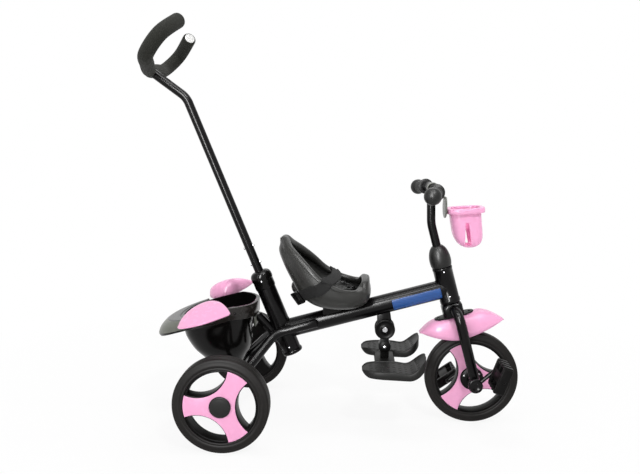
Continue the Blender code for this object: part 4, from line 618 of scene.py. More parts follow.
FINISHES = {
    "paint": recipe("black_paint", "paint", 1.5, (0.19, 0.26), 90, 1e-6, 0.006, 0.15),
    "bin_gloss": recipe("gloss_black", "bin", 1.3, (0.13, 0.20), 90, 1e-6, 0.006, 0.16),
    # The bin's inside: its black without gloss, painted shade inside the bowl.
    "bin_inside": recipe("gloss_black", "bin", 1.2, (0.45, 0.6), 400, 1e-5, 0.0, 0.0),
    # The band round the bin's rim: a lighter copy of the bin's black, painted highlight.
    "bin_edge": recipe("gloss_black", "edge", 1.5, (0.2, 0.3), 60, 2e-6, 0.01, 0.3),
    "moulding": recipe("black_plastic", "moulding", 1.3, (0.28, 0.42), 1500, 2e-5, 0.01, 0.07),
    "seat_plastic": recipe("dark_plastic", "seat", 1.15, (0.30, 0.42), 1700, 3e-5, 0.01, 0.28),
    "plate_plastic": recipe("dark_plastic", "plate", 1.15, (0.36, 0.5), 1700, 3e-5, 0.01, 0.12),
    "grip_rubber": recipe("dark_plastic", "rubber", 1.15, (0.32, 0.44), 1500, 2e-5, 0.01, 0.26),
    "lip_plastic": recipe("grey_plastic", "lip", 1.12, (0.26, 0.36), 1500, 2e-5, 0.01, 0.3),
    "tyre_eva": recipe("tyre", "tyre", 1.2, (0.42, 0.56), 1900, 3e-5, 0.015, 0.11),
    "foam": recipe("foam", "foam", 1.3, (0.82, 0.96), 2600, 1e-4, 0.01, 0.1, Sheen_Weight=0.06,
                   Sheen_Roughness=0.6),
    "pink_gloss": recipe("pink", "pink", 1.02, (0.22, 0.30), 90, 1e-6, 0.0, 0.25),
    "plug_plastic": recipe("grey_plastic", "plug", 1.02, (0.3, 0.4), 900, 1e-5, 0.0, 0.4),
    "steel": recipe("steel", "steel", 1.1, (0.2, 0.36), 500, 5e-6, 0.0, Metallic=1.0),
    "band_film": recipe("pink", "band", 1.1, (0.18, 0.26), 150, 3e-6, 0.0, 0.3),
    "webbing": recipe("webbing", "webbing", 1.45, (0.68, 0.86), None, 2e-4, 0.01, 0.1),
}
DUST_COLOUR = (0.42, 0.40, 0.37)
DUST_ROUGHNESS = 1.5


def mix_colours(tree, factor, first, second):
    node = tree.nodes.new("ShaderNodeMix")
    node.data_type = "RGBA"
    connect(tree, factor, node.inputs["Factor"])
    for value, index in ((first, 6), (second, 7)):
        connect(tree, value if isinstance(value, bpy.types.NodeSocket) else (*value, 1.0), node.inputs[index])
    return node.outputs[2]


def material(name):
    """The finish of that name, made once."""
    made = bpy.data.materials.get(name + "_finish")
    if made:
        return made
    spec = FINISHES[name]
    made = bpy.data.materials.new(name + "_finish")
    made.use_nodes = True
    tree = made.node_tree
    shader = tree.nodes["Principled BSDF"]
    for socket, value in spec["sockets"].items():
        shader.inputs[socket].default_value = value
    base = tuple(getattr(settings().finishes, spec["tint"]))
    light = tuple(min(value * spec["lift"], 1.0) for value in base)
    made.diffuse_color = (*base, 1.0)

    if name == "webbing":
        cloth = place_group(tree, "webbing_weave")
        height = cloth["Height"]
        # On the webbing the colour follows the weave's height: painted highlight on its ribs, painted shade
        # between them.
        fine = tone_and_ridge_light = maths(tree, "MAXIMUM", cloth["Tone"], cloth["Edge"])
    else:
        grain = place_group(tree, "moulded_grain", Scale=spec["grain"])
        tone_and_ridge_light, height, fine = grain["Slow"], grain["Height"], grain["Fine"]
    if name == "steel":
        fine = place_group(tree, "drawn_lines")["Lines"]
    surface = mix_colours(tree, tone_and_ridge_light, base, light)
    rough = spread(tree, fine, 0.3, 0.7, *spec["rough"])
    if spec["dust"]:
        dust = place_group(tree, "settled_dust", Amount=spec["dust"])["Dust"]
        surface = mix_colours(tree, dust, surface, DUST_COLOUR)
        rough = maths(tree, "ADD", rough, maths(tree, "MULTIPLY", dust, DUST_ROUGHNESS), clamp=True)
    bump = tree.nodes.new("ShaderNodeBump")
    bump.inputs["Strength"].default_value = 1.0
    bump.inputs["Distance"].default_value = spec["bump"]
    tree.links.new(height, bump.inputs["Height"])
    for value, socket in ((surface, "Base Color"), (rough, "Roughness"), (bump.outputs["Normal"], "Normal")):
        tree.links.new(value, shader.inputs[socket])
    return made


# Places worked out from the settings

FORK_OFFSET = 0.004
HEAD_LOW, HEAD_HIGH, HEAD_JOINT = 0.1885, 0.2752, 0.2234
SOCKET_X, SOCKET_ABOVE, SOCKET_BELOW, COLLAR_CAP = 0.1144, 0.1445, 0.052, 0.0083


def tubes():
    return settings().tubes


def wheels():
    return settings().wheels


def front_axle():
    return Vector((wheels().wheelbase, 0, wheels().front_radius))


def steer_axes():
    return leaning(tubes().rake)


def steer(ahead, left, height):
    """A point in the fork's own directions, from the foot of the steering axis."""
    forward, up = steer_axes()
    return front_axle() + forward * (ahead - FORK_OFFSET) + LEFT * left + up * height


def main_axes():
    return leaning(tubes().main_tilt)


def main_axis(x):
    """The point of the main tube's axis at x."""
    cross, ahead = steer(0, 0, HEAD_JOINT), main_axes()[0]
    return cross + ahead * ((x - cross.x) / ahead.x)


def socket_up():
    return leaning(tubes().socket_lean)[1]


def socket_point(height):
    """A point on the socket's axis, measured from where it crosses the main tube."""
    return main_axis(SOCKET_X) + socket_up() * height


def pole_point(height):
    """A point on the pole's straight run, measured from the collar's top."""
    return socket_point(SOCKET_ABOVE + COLLAR_CAP + height)


# Wheels

# Outlines of (radius, distance): the bead from the tyre's inside, the shoulder and a groove from the tread.
TYRE_BEAD = ((0, 0.004), (0.0005, 0.0007), (0.0018, 0), (0.0040, 0), (0.0047, 0.0008), (0.0058, 0.0008),
             (0.0066, 0))
TYRE_SHOULDER = ((0.0120, 0), (0.0112, 0.0005), (0.0050, 0.0005), (0.0030, 0.0010), (0.0013, 0.0023),
                 (0.0003, 0.0044))
TREAD_GROOVE = ((0, -0.0012), (0.0010, -0.0007), (0.0010, 0.0007), (0, 0.0012))
GROOVE_PLACES = (-0.38, 0.0, 0.38)
HUB_CAP = ((0, 0), (0.0236, 0), (0.0236, 0.35), (0.0228, 0.62), (0.0208, 0.80), (0.0196, 0.74),
           (0.0184, 0.80), (0.0118, 0.95), (0, 1))
HUB_CAP_DEPTH, WHEEL_BORE, REAR_HUB, FRONT_HUB, FRONT_HUB_SCREWS = 0.005, 0.0055, 0.018, 0.027, 0.0205


def spin_point(centre, x, z, turn=0.0):
    """A point in a wheel's plane, turned round the wheel's centre."""
    c, s = math.cos(turn), math.sin(turn)
    return centre + Vector((c * x - s * z, 0, s * x + c * z))


def opening_angles(ring, border=0.0):
    """Half the angle of an opening seen from the axle, and seen from the middle of its inner arc."""
    cut, reach = wheels().opening_radius + border, wheels().opening_reach
    half = math.acos((ring ** 2 + reach ** 2 - cut ** 2) / (2 * ring * reach))
    return half, math.atan2(ring * math.sin(half), reach - ring * math.cos(half))


def opening_outline(centre, turn, ring, steps=18):
    """One opening between two spokes: an arc of the rim's ring and an arc round a point outside it."""
    cut, reach = wheels().opening_radius, wheels().opening_reach
    half, near = opening_angles(ring)
    points = [(ring * math.cos(t), ring * math.sin(t)) for t in spaced(-half, half, steps)[:-1]]
    points += [(reach - cut * math.cos(t), cut * math.sin(t)) for t in spaced(near, -near, steps)[:-1]]
    return [spin_point(centre, x, z, turn) for x, z in points]


def cover_outline(centre, turn, radius, border=0.002, steps=14):
    """The three-spoked cover: arcs on the rim joined by arcs along the openings."""
    cut, reach = wheels().opening_radius + border, wheels().opening_reach
    half, near = opening_angles(radius, border)
    width, outline = math.pi / 3 - half, []
    for spoke in circle(3):
        middle = turn + spoke
        outline += [spin_point(centre, radius, 0, t)
                    for t in spaced(middle - width, middle + width, steps - 1)]
        outline += [spin_point(centre, reach - cut * math.cos(t), cut * math.sin(t), middle + math.pi / 3)
                    for t in spaced(-near, near, 2 * steps)[1:-1]]
    return outline


def tyre_profile(radius, width, depth):
    """A tyre's outline: a bead with a fine groove, a flat wall, a round shoulder and a grooved tread."""
    half = width / 2
    side = [(radius - depth + rise, inset - half) for rise, inset in TYRE_BEAD]
    side += [(radius - drop, inset - half) for drop, inset in TYRE_SHOULDER]
    tread = [(radius - drop, half * place + out) for place in GROOVE_PLACES for drop, out in TREAD_GROOVE]
    return side + tread + [(r, -y) for r, y in reversed(side)]


def build_wheel(label, body, centre, radius, width, turn, hub, hub_reach, covers):
    """Tyre, moulded rim and covers of one wheel. covers gives the side and the node of each cover."""
    depth = wheels().tyre_depth
    tyre = lathe(tyre_profile(radius, width, depth), centre, LEFT, 128, -UP)
    add_piece(f"{label}_tyre_skin", tyre, "tyre_eva", body, f"{label}_tyre")
    outer, half = radius - depth - 0.0002, width / 2 - 0.003
    start = centre - LEFT * half
    outlines = [[spin_point(start, outer, 0, t) for t in circle(128)]]
    outlines += [opening_outline(start, turn + math.pi / 3 + third, outer - wheels().rim_lip)
                 for third in circle(3)]
    disc = soften(plate(outlines, LEFT * 2 * half), 0.0008)
    barrel = lathe(drum(WHEEL_BORE, hub, *hub_reach), centre, LEFT, 64, -UP)
    add_piece(f"{label}_rim_moulding", join(disc, barrel), "moulding", body, f"{label}_rim")
    for sign, node in covers:
        face = centre + LEFT * sign * (half + 0.0003)
        cover = plate([cover_outline(face, turn, radius - depth - 0.0005)], LEFT * sign * 0.002)
        add_piece(node + "_cover", soften(cover, 0.0006), "pink_gloss", body, node)


def build_rear_wheels():
    sizes = wheels()
    half = sizes.rear_width / 2
    for side, sign in SIDES:
        centre = Vector((0, sign * sizes.track / 2, sizes.rear_radius))
        body, reach = f"{side}_rear_wheel", sorted((-sign * (half + 0.004), sign * (half - 0.003)))
        build_wheel(f"{side}_rear", body, centre, sizes.rear_radius, sizes.rear_width, sizes.rear_turn,
                    REAR_HUB, reach, [(sign, f"{side}_rear_insert")])
        profile = [(r, sign * (half - 0.0004 + HUB_CAP_DEPTH * share)) for r, share in HUB_CAP]
        add_piece(f"{side}_hub_cap_disc", lathe(profile, centre, LEFT, 64, -UP), "plate_plastic", body,
                  f"{side}_hub_cap")


def build_front_wheel():
    sizes = wheels()
    centre, end = front_axle(), sizes.front_width / 2 + 0.0065
    build_wheel("front", "front_wheel", centre, sizes.front_radius, sizes.front_width, sizes.front_turn,
                FRONT_HUB, (-end, end), [(sign, f"front_{side}_insert") for side, sign in SIDES])
    heads = [screw(spin_point(centre, FRONT_HUB_SCREWS, 0, sizes.front_turn + math.radians(turn))
                   + LEFT * sign * end, LEFT * sign, 0.0024) for _, sign in SIDES for turn in (47, 167, 287)]
    add_piece("front_hub_screws", join(*heads), "steel", "front_wheel")


# Crank and pedals

CRANK_PLANE, CRANK_BOSS, CRANK_BOSS_HALF, CRANK_BEND = 0.0695, 0.0165, 0.0055, 0.0055
PEDAL_INNER, PEDAL_WIDTH, PEDAL_LENGTH, PEDAL_HEIGHT = 0.081, 0.072, 0.064, 0.022
PEDAL_TURNS = {"right": math.radians(70), "left": math.radians(35)}
PEDAL_BEVEL, PEDAL_TEETH = 0.0019, 4
SPINDLE_END = ((0, 0), (0.0042, 0), (0.0042, 0.0006), (0.0036, 0.0014), (0, 0.0016))


def crank_end(sign):
    turn, throw = wheels().crank_turn, wheels().crank_length
    return front_axle() + leaning(turn)[0] * throw * -sign


def build_crank():
    """The bent rod, and a round boss on each side of the hub."""
    near, far, axle = crank_end(-1), crank_end(1), front_axle()
    tip = PEDAL_INNER + PEDAL_WIDTH - 0.004
    corners = [point + LEFT * out for point, out in (
        (near, -tip), (near, -CRANK_PLANE), (axle, -CRANK_PLANE), (axle, CRANK_PLANE), (far, CRANK_PLANE),
        (far, tip))]
    parts = [sweep(frames_along(rounded_path(corners, CRANK_BEND, 8)), 0.005, 24)]
    low, high = CRANK_PLANE - CRANK_BOSS_HALF, CRANK_PLANE + CRANK_BOSS_HALF
    profile = drum(0, CRANK_BOSS, low, high)[:-1]
    profile += [(0.0095, high), (0.0088, high - 0.0008), (0, high - 0.0008)]
    parts += [lathe([(r, y * sign) for r, y in profile], axle, LEFT, 48, UP) for _, sign in SIDES]
    add_piece("crank_rod", join(*parts), "paint", "front_wheel", "pedal_crank", slot="steel")


def pedal_boxes(low, high):
    """Two end plates, a barrel for the spindle, two ribs, and a toothed rail along each edge."""
    half, rise = PEDAL_LENGTH / 2, PEDAL_HEIGHT / 2
    boxes = [(half - 0.003, low, low + 0.009, rise), (half - 0.003, high - 0.009, high, rise),
             (0.0115, low + 0.004, high - 0.004, rise - 0.002)]
    parts = [block((-x, near, -z), (x, far, z)) for x, near, far, z in boxes]
    for edge in (-1, 1):
        inner, outer = sorted((edge * (half - 0.0075), edge * (half - 0.0022)))
        parts.append(block((inner, low + 0.002, -rise + 0.001), (outer, high - 0.002, rise - 0.001)))
        near, far = sorted((edge * (half - 0.004), edge * half))
        for middle in spaced(low + 0.009, low + PEDAL_WIDTH - 0.009, PEDAL_TEETH - 1):
            parts.append(block((near, middle - 0.0052, -rise), (far, middle + 0.0052, rise)))
    for middle in spaced(low, low + PEDAL_WIDTH, 3)[1:-1]:
        parts.append(block((-half + 0.006, middle - 0.0015, -rise + 0.0045),
                           (half - 0.006, middle + 0.0015, rise - 0.0045)))
    return parts


def build_pedals():
    for side, sign in SIDES:
        body, pin = f"{side}_pedal_body", crank_end(sign)
        parts = pedal_boxes(*sorted((sign * PEDAL_INNER, sign * (PEDAL_INNER + PEDAL_WIDTH))))
        bm = soften(join(*parts), PEDAL_BEVEL, 3, 60)
        matrix = Matrix.Translation(pin) @ Matrix.Rotation(-PEDAL_TURNS[side], 4, "Y")
        bmesh.ops.transform(bm, matrix=matrix, verts=bm.verts)
        add_piece(f"{side}_pedal_block", bm, "moulding", body, f"{side}_pedal")
        end = pin + LEFT * sign * (PEDAL_INNER + PEDAL_WIDTH - 0.0004)
        add_piece(f"{side}_spindle_nut", lathe(SPINDLE_END, end, LEFT * sign, 24, UP), "moulding", body,
                  smooth=38)


# Frame

STAY_OUT, STAY_START, STAY_CORNER, STAY_BEND = 0.150, 0.083, 0.100, 0.060
WELD_BEAD, WELD_PROUD, WELD_STEPS = 0.0010, 0.0006, 48
COLLAR = ((0.0108, 0.0006), (0.0122, 0.0010), (0.0150, 0.0008), (0.0182, -0.0004), (0.0212, -0.0024),
          (0.0236, -0.0052), (0.0251, -0.0088), (0.0258, -0.0130), (0.0258, -0.0200), (0.0253, -0.0214),
          (0.0244, -0.0222), (0.0244, -0.039), (0.0240, -0.0415), (0.0234, -0.043), (0.0228, -0.043),
          (0.0228, -0.0080), (0.0108, -0.0080))
END_CAP = ((0, 0.012), (0.020, 0.012), (0.020, -0.0003), (0.0232, -0.0003), (0.0246, -0.0014),
           (0.0250, -0.0040), (0.0246, -0.0068), (0.0232, -0.0088), (0.0205, -0.0098), (0.0190, -0.0090),
           (0, -0.0086))
BAND_START, BAND_END = 0.3735, 0.4865


def head_profile():
    """The head tube's outline, with a raised ring at each end."""
    bore, radius, height = 0.0172, tubes().head_radius, HEAD_HIGH - HEAD_LOW
    return [(bore, 0), (radius, 0), (radius + 0.0012, 0.0012), (radius + 0.0012, 0.0085), (radius, 0.0100),
            (radius, height - 0.0060), (radius + 0.0008, height - 0.0052), (radius + 0.0008, height - 0.0008),
            (radius, height), (bore, height)]


def build_frame():
    sizes = tubes()
    axle = Vector((0, 0, wheels().rear_radius))
    reach = wheels().track / 2 - wheels().rear_width / 2 - 0.0045
    for name, node, tube in (
            ("main_tube", "main_tube", rod(main_axis(SOCKET_X), steer(0, 0, HEAD_JOINT), sizes.main_radius)),
            ("socket_tube", "socket_tube",
             rod(socket_point(-SOCKET_BELOW), socket_point(SOCKET_ABOVE), sizes.socket_radius)),
            ("head_tube", "head_tube",
             lathe(head_profile(), steer(0, 0, HEAD_LOW), steer_axes()[1], 64)),
            ("axle_tube", "rear_axle_tube", rod(axle - LEFT * reach, axle + LEFT * reach, 0.012, 40))):
        add_piece(name + "_steel", tube, "paint", "frame", node)

    main_up, beside = main_axes()[1], sizes.main_radius + sizes.stay_radius + 0.0003
    for side, sign in SIDES:
        offset = LEFT * sign * beside + main_up * 0.0035
        start, corner = main_axis(SOCKET_X + STAY_START) + offset, main_axis(STAY_CORNER) + offset
        flat = start.lerp(corner, 0.25)
        path = rounded_path([start, flat, corner, axle + LEFT * sign * STAY_OUT], STAY_BEND, 14)
        path = [start, start.lerp(corner, 0.12), flat] + path[-16:]
        flats = [(1.0, 0.55), (1.0, 0.75)] + [(1, 1)] * (len(path) - 2)
        stay = sweep(frames_along(path, main_up), sizes.stay_radius, 40, flats)
        add_piece(f"{side}_stay_steel", soften(stay, 0.0008), "paint", "frame", f"{side}_stay")

    build_welds()
    build_collar_and_cap()
    for node in ("lower_head_bush", "upper_head_bush", "seat_mount"):
        dress_node(node, "moulding")
    for node in ("rear_axle", "footrest_bolt"):
        dress_node(node, "steel")


def build_welds():
    """Weld beads where the main tube meets the head tube and the socket."""
    radius, (ahead, main_up), beads = tubes().main_radius, main_axes(), []
    for middle, axis, other, toward in (
            (steer(0, 0, HEAD_JOINT), steer_axes()[1], tubes().head_radius, -1),
            (main_axis(SOCKET_X), socket_up(), tubes().socket_radius, 1)):
        out_way = (ahead - axis * ahead.dot(axis)).normalized()
        points = []
        for turn in circle(WELD_STEPS):
            side = main_up * math.cos(turn) * radius + LEFT * math.sin(turn) * radius
            out = math.sqrt(max(other ** 2 - side.y ** 2, 0.0)) + WELD_PROUD
            points.append(middle + axis * side.dot(axis) + LEFT * side.y + out_way * out * toward)
        beads.append(sweep(frames_along(points + points[:1], axis), WELD_BEAD, 10, closed_ends=False))
    add_piece("weld_beads", join(*beads), "paint", "frame")


def build_collar_and_cap():
    for name, profile, place, node in (("collar_cap", COLLAR, pole_point(0), "socket_collar"),
                                       ("end_cap", END_CAP, socket_point(-SOCKET_BELOW), "socket_end_cap")):
        cap = lathe(profile, place, socket_up(), 72)
        add_piece(name, cap, "bin_gloss", "frame", node, slot="black_plastic")
    radius, near = tubes().head_radius, -LEFT
    heads = [screw(pole_point(-0.0225) + near * 0.0248, near, 0.0026),
             screw(steer(0, -radius, HEAD_HIGH - 0.009), near, 0.0022),
             screw(steer(0, -radius - 0.0008, HEAD_LOW + 0.018), near, 0.0022)]
    add_piece("frame_screws", join(*heads), "steel", "frame")
    place = socket_point(-SOCKET_BELOW + 0.010) + near * tubes().socket_radius
    add_piece("socket_screw", screw(place, near, 0.0026), "steel", "frame")


def build_band():
    """Plain band of film on both sides of the main tube."""
    radius, main_up = tubes().main_radius, main_axes()[1]

    def strip(sign, u, v):
        turn = math.radians(-48 + 70 * v)
        out = LEFT * sign * math.cos(turn) + main_up * math.sin(turn)
        return main_axis(BAND_START + (BAND_END - BAND_START) * u) + out * (radius + 0.00025)

    bands = [skin(48, 16, lambda u, v, sign=sign: strip(sign, u, v)) for _, sign in SIDES]
    add_piece("tube_band", join(*bands), "band_film", "frame", wall=0.0003, outward=1.0)


# Fork, fender and handlebar

CROWN_LOW, CROWN_HIGH = 0.158, HEAD_LOW - 0.0005
# The crown from its foot up: height, half length, half width, squareness.
CROWN = ((CROWN_LOW, 0.0215, 0.0225, 4.0), (0.1588, 0.0235, 0.0238, 4.4), (0.1605, 0.0245, 0.0245, 4.5),
         (CROWN_HIGH - 0.0075, 0.0245, 0.0245, 4.5), (CROWN_HIGH - 0.0045, 0.0236, 0.0236, 4.0),
         (CROWN_HIGH - 0.0015, 0.0218, 0.0216, 3.4), (CROWN_HIGH, 0.0200, 0.0200, 3.0))
LEG_OUT, LEG_RADIUS, BOSS_IN, BOSS_OUT = 0.050, 0.0118, 0.0230, CRANK_PLANE - 0.0060
FENDER = dict(top=0.1550, half_width=0.0365, rear=0.0882, front=0.1093, rear_tip=0.1348, front_tip=0.1192,
              side_low=0.1035, sheet=0.0026)
FENDER_SHAPE = 2 / 3.2
BAR_X, BAR_Z = 0.4635, 0.5595
STEM_BEAD = ((0.0098, 0), (0.0114, 0.0012), (0.0118, 0.0030), (0.0112, 0.0050), (0.0098, 0.0058))
COVER_RADIUS, COVER_HEIGHT = 0.0252, 0.0520
COVER = ((0.86, 0.0), (0.90, 0.01), (0.935, 0.06), (0.97, 0.13), (0.993, 0.22), (1.0, 0.31), (0.995, 0.40),
         (0.975, 0.50), (0.935, 0.60), (0.88, 0.70), (0.80, 0.80), (0.70, 0.885), (0.60, 0.945),
         (0.52, 0.985), (0.46, 1.0), (0.412, 0.998), (0.412, 0.90), (0.70, 0.70), (0.86, 0.45))
GRIP, KNOB, GRIP_LENGTH, GRIP_GAP = 0.0148, 0.0190, 0.080, 0.018
GRIP_RIB = ((-0.0006, 0), (0, 0.0009), (0, 0.0040), (-0.0006, 0.0049))


def build_fork():
    forward, up = steer_axes()
    rings = [oval(steer(0, 0, h), forward, LEFT, a, b, shape, 64) for h, a, b, shape in CROWN]
    add_piece("fork_crown_block", loft(rings), "paint", "steering", "fork_crown")
    middle = (CROWN_LOW + CROWN_HIGH) / 2
    for side, sign in SIDES:
        path = rounded_path([steer(0, sign * 0.010, middle), steer(0.00715, sign * LEG_OUT, middle - 0.001),
                             steer(0.007, sign * LEG_OUT, 0.004)], 0.030, 18)
        leg = sweep(frames_along(path, up), LEG_RADIUS, 40)
        low, high = sorted((sign * BOSS_IN, sign * BOSS_OUT))
        boss = lathe(drum(0.0055, 0.0125, low, high), front_axle(), LEFT, 48, UP)
        add_piece(f"{side}_leg_steel", join(leg, boss), "paint", "steering", f"{side}_fork_leg")


def fender_point(along, across):
    """A point of the fender's middle skin: along from -1 (rear) to 1 (front), across from -1 to 1."""
    end = "front" if along > 0 else "rear"
    tip, top = FENDER[end + "_tip"], FENDER["top"] - FENDER["sheet"] / 2
    ridge = top - (top - tip) * max(0.0, (abs(along) - 0.52) / 0.48) ** 1.7
    edge = FENDER["side_low"] + (tip - FENDER["side_low"]) * min(1.0, abs(along) / 0.95) ** 1.5
    half_width = FENDER["half_width"] * (1 - 0.72 * abs(along) ** 3.2)
    turn = across * math.pi / 2
    drop = 1 - abs(math.cos(turn)) ** FENDER_SHAPE
    return steer(along * FENDER[end], bent(math.sin(turn), FENDER_SHAPE) * half_width,
                 ridge - (ridge - edge) * drop)


def build_fender():
    bm = skin(64, 40, lambda u, v: fender_point(2 * u - 1, 2 * v - 1))
    add_piece("fender_shell", bm, "pink_gloss", "steering", "front_fender", smooth=60,
              wall=FENDER["sheet"] * 0.94)
    forward, up = steer_axes()
    outline = oval(steer(0, 0, FENDER["top"] + 0.0003), forward, LEFT, 0.047, 0.022, 2.3, 72)
    washer = soften(plate([outline], up * 0.0024), 0.0006)
    add_piece("fender_washer", washer, "moulding", "steering", "fender_plate")
    heads = [screw(steer(ahead, 0, FENDER["top"] + 0.0027), up, 0.0032, 0.0018)
             for ahead in (-0.0375, 0.0375)]
    add_piece("fender_screws", join(*heads), "bin_gloss", "steering", slot="black_plastic")


def bar_end(sign):
    """Where one end of the handlebar leaves its bend, and the way it points."""
    return Vector((BAR_X, sign * 0.088, BAR_Z)), Vector((-0.0195, sign * 0.080, -0.0065)).normalized()


def build_handlebar():
    (near, near_way), (far, far_way) = bar_end(-1), bar_end(1)
    reach = GRIP_GAP + GRIP_LENGTH - 0.012
    path = rounded_path([near + near_way * reach, near, far, far + far_way * reach], 0.040, 12)
    add_piece("handlebar_steel", sweep(frames_along(path, UP), 0.011, 40), "paint", "steering", "crossbar")
    up, foot = steer_axes()[1], steer(0, 0, 0)
    bend = foot + up * ((0.478 - foot.z) / up.z)
    top = Vector((BAR_X - 0.004, 0, BAR_Z - 0.002))
    path = rounded_path([steer(0, 0, HEAD_LOW + 0.016), bend, top], 0.090, 16)
    bead = lathe(STEM_BEAD, Vector((BAR_X - 0.0037, 0, BAR_Z - 0.0145)), UP, 40)
    add_piece("stem_steel", join(sweep(frames_along(path), 0.0100, 40), bead), "paint", "steering",
              "handlebar_stem")
    profile = [(COVER_RADIUS * r, COVER_HEIGHT * h) for r, h in COVER]
    cover = lathe(profile, steer(0, 0, HEAD_HIGH + 0.0005), up, 72)
    add_piece("head_cover_egg", cover, "grip_rubber", "steering", "head_cover")


def grip_profile():
    """A rubber grip: flange at its root, ribs, and a round knob with a small hole at its end."""
    bore, end = 0.0113, GRIP_LENGTH
    profile = [(bore, 0.0), (KNOB - 0.0022, 0.0), (KNOB - 0.0004, 0.0012), (KNOB, 0.0026), (KNOB, 0.0042),
               (KNOB - 0.0010, 0.0056), (GRIP + 0.0008, 0.0066)]
    profile += [(GRIP + out, 0.0085 + rib * 0.0058 + up) for rib in range(7) for out, up in GRIP_RIB]
    profile += [(KNOB * math.cos(turn), end - KNOB + KNOB * math.sin(turn))
                for turn in spaced(math.radians(-46), math.radians(84), 16)]
    return profile + [(0.0018, end - 0.0001), (0.0014, end - 0.0009), (0.0012, end - 0.004), (0, end - 0.004),
                      (0, end - 0.010), (bore, end - 0.010)]


def build_grips():
    for side, sign in SIDES:
        start, way = bar_end(sign)
        grip = lathe(grip_profile(), start + way * GRIP_GAP, way, 56, UP)
        add_piece(f"{side}_grip_rubber", grip, "grip_rubber", "steering", f"{side}_grip", smooth=45)


# Front basket

BASKET_RIM, BASKET_TILT = Vector((0.5385, 0, 0.5165)), math.radians(4)
BASKET_LONG, BASKET_WIDE, BASKET_WALL, BASKET_STEP = 0.044, 0.042, 0.0026, 0.0085
# Each station of the body: height, shares of its length and width, shift ahead.
BASKET_BODY = ((-0.0035, 1.0, 1.0, 0.0), (-0.020, 1.0, 1.0, 0.0), (-0.039, 0.99, 0.99, 0.0010),
               (-0.058, 0.965, 0.965, 0.0026), (-0.068, 0.92, 0.94, 0.0040), (-0.076, 0.85, 0.90, 0.0052),
               (-0.0825, 0.75, 0.84, 0.0060), (-0.0875, 0.61, 0.76, 0.0066), (-0.0915, 0.40, 0.62, 0.0068),
               (-0.093, 0.20, 0.46, 0.0065))
# Each ring of the rim, from the inside over the top: height, distance inside the widest outline.
BASKET_LIP = ((-0.0006, 0.0105), (0, 0.0097), (0, 0.0022), (-0.0006, 0.0008), (-0.0020, 0), (-0.0105, 0),
              (-0.012, 0.0006), (-0.012, 0.0020), (-0.011, 0.0026), (-0.0032, 0.0026), (-0.0026, 0.0079))
BASKET_SLOT = ((-0.033, 0.0030), (-0.033, -0.0045), (-0.087, -0.0075), (-0.087, 0.0080))
BRACKET_TOP, BRACKET_WAIST, BRACKET_FOOT, BRACKET_HALF, CLIP_RADIUS = 0.541, 0.521, 0.491, 0.032, 0.0128


def build_basket():
    ahead, up = leaning(BASKET_TILT)

    def ring(height, a, b, shift=0.0):
        return oval(BASKET_RIM + up * height + ahead * shift, ahead, LEFT, a, b, 3.2, 88)

    def body(t, inset, lift=0.0):
        height, a, b, shift = read_stations(BASKET_BODY, t)
        return ring(height + lift, (BASKET_LONG - BASKET_STEP) * a - inset,
                    (BASKET_WIDE - BASKET_STEP) * b - inset, shift)

    steps = spaced(0, 1, 22)
    rings = [body(t, BASKET_WALL, BASKET_WALL if t == 1 else 0.0) for t in reversed(steps)]
    rings += [ring(height, BASKET_LONG - inset, BASKET_WIDE - inset) for height, inset in BASKET_LIP]
    rings += [body(t, 0) for t in steps]
    basket = add_piece("basket_shell", loft(rings), "pink_gloss", "steering", "front_basket", smooth=60)
    cuts = []
    for _, sign in SIDES:
        outline = [BASKET_RIM + up * h + ahead * a + LEFT * sign * 0.012 for h, a in BASKET_SLOT]
        cuts.append(soften(plate([outline], LEFT * sign * 0.04), 0.0016, 3, 60))
    carve(basket, *cuts)
    basket.data.set_sharp_from_angle(angle=math.radians(45))
    build_bracket()


def build_bracket():
    """The basket's back plate, the clip round the handlebar and the arm between them."""
    back, half = Vector((BASKET_RIM.x - BASKET_LONG - 0.0036, 0, 0)), BRACKET_HALF
    outline = [back + UP * (BRACKET_WAIST - (BRACKET_WAIST - BRACKET_FOOT) * math.sin(turn) ** 0.8)
               + LEFT * half * math.cos(turn) for turn in spaced(0, math.pi, 32)]
    outline += [back + UP * BRACKET_TOP + LEFT * half * side for side in (-0.7, 0.7)]
    sheet = soften(plate([outline], AHEAD * 0.003), 0.0008)
    bar = Vector((BAR_X, 0, BAR_Z))
    points = [bar + AHEAD * CLIP_RADIUS * math.cos(turn) + UP * CLIP_RADIUS * math.sin(turn)
              for turn in spaced(math.radians(-36), math.radians(186), 22)]
    clip = sweep(frames_along(points), 1.0, 24, [(0.0115, 0.0015)] * len(points))
    start = bar + AHEAD * CLIP_RADIUS - UP * 0.006
    end = back + UP * (BRACKET_TOP - 0.006) + AHEAD * 0.0015
    arm = sweep(frames_along([start, start.lerp(end, 0.5), end]), 1.0, 24, [(0.010, 0.0022)] * 3)
    add_piece("bracket_plate", join(sheet, clip, arm), "lip_plastic", "steering", "basket_bracket")


# Seat and belt

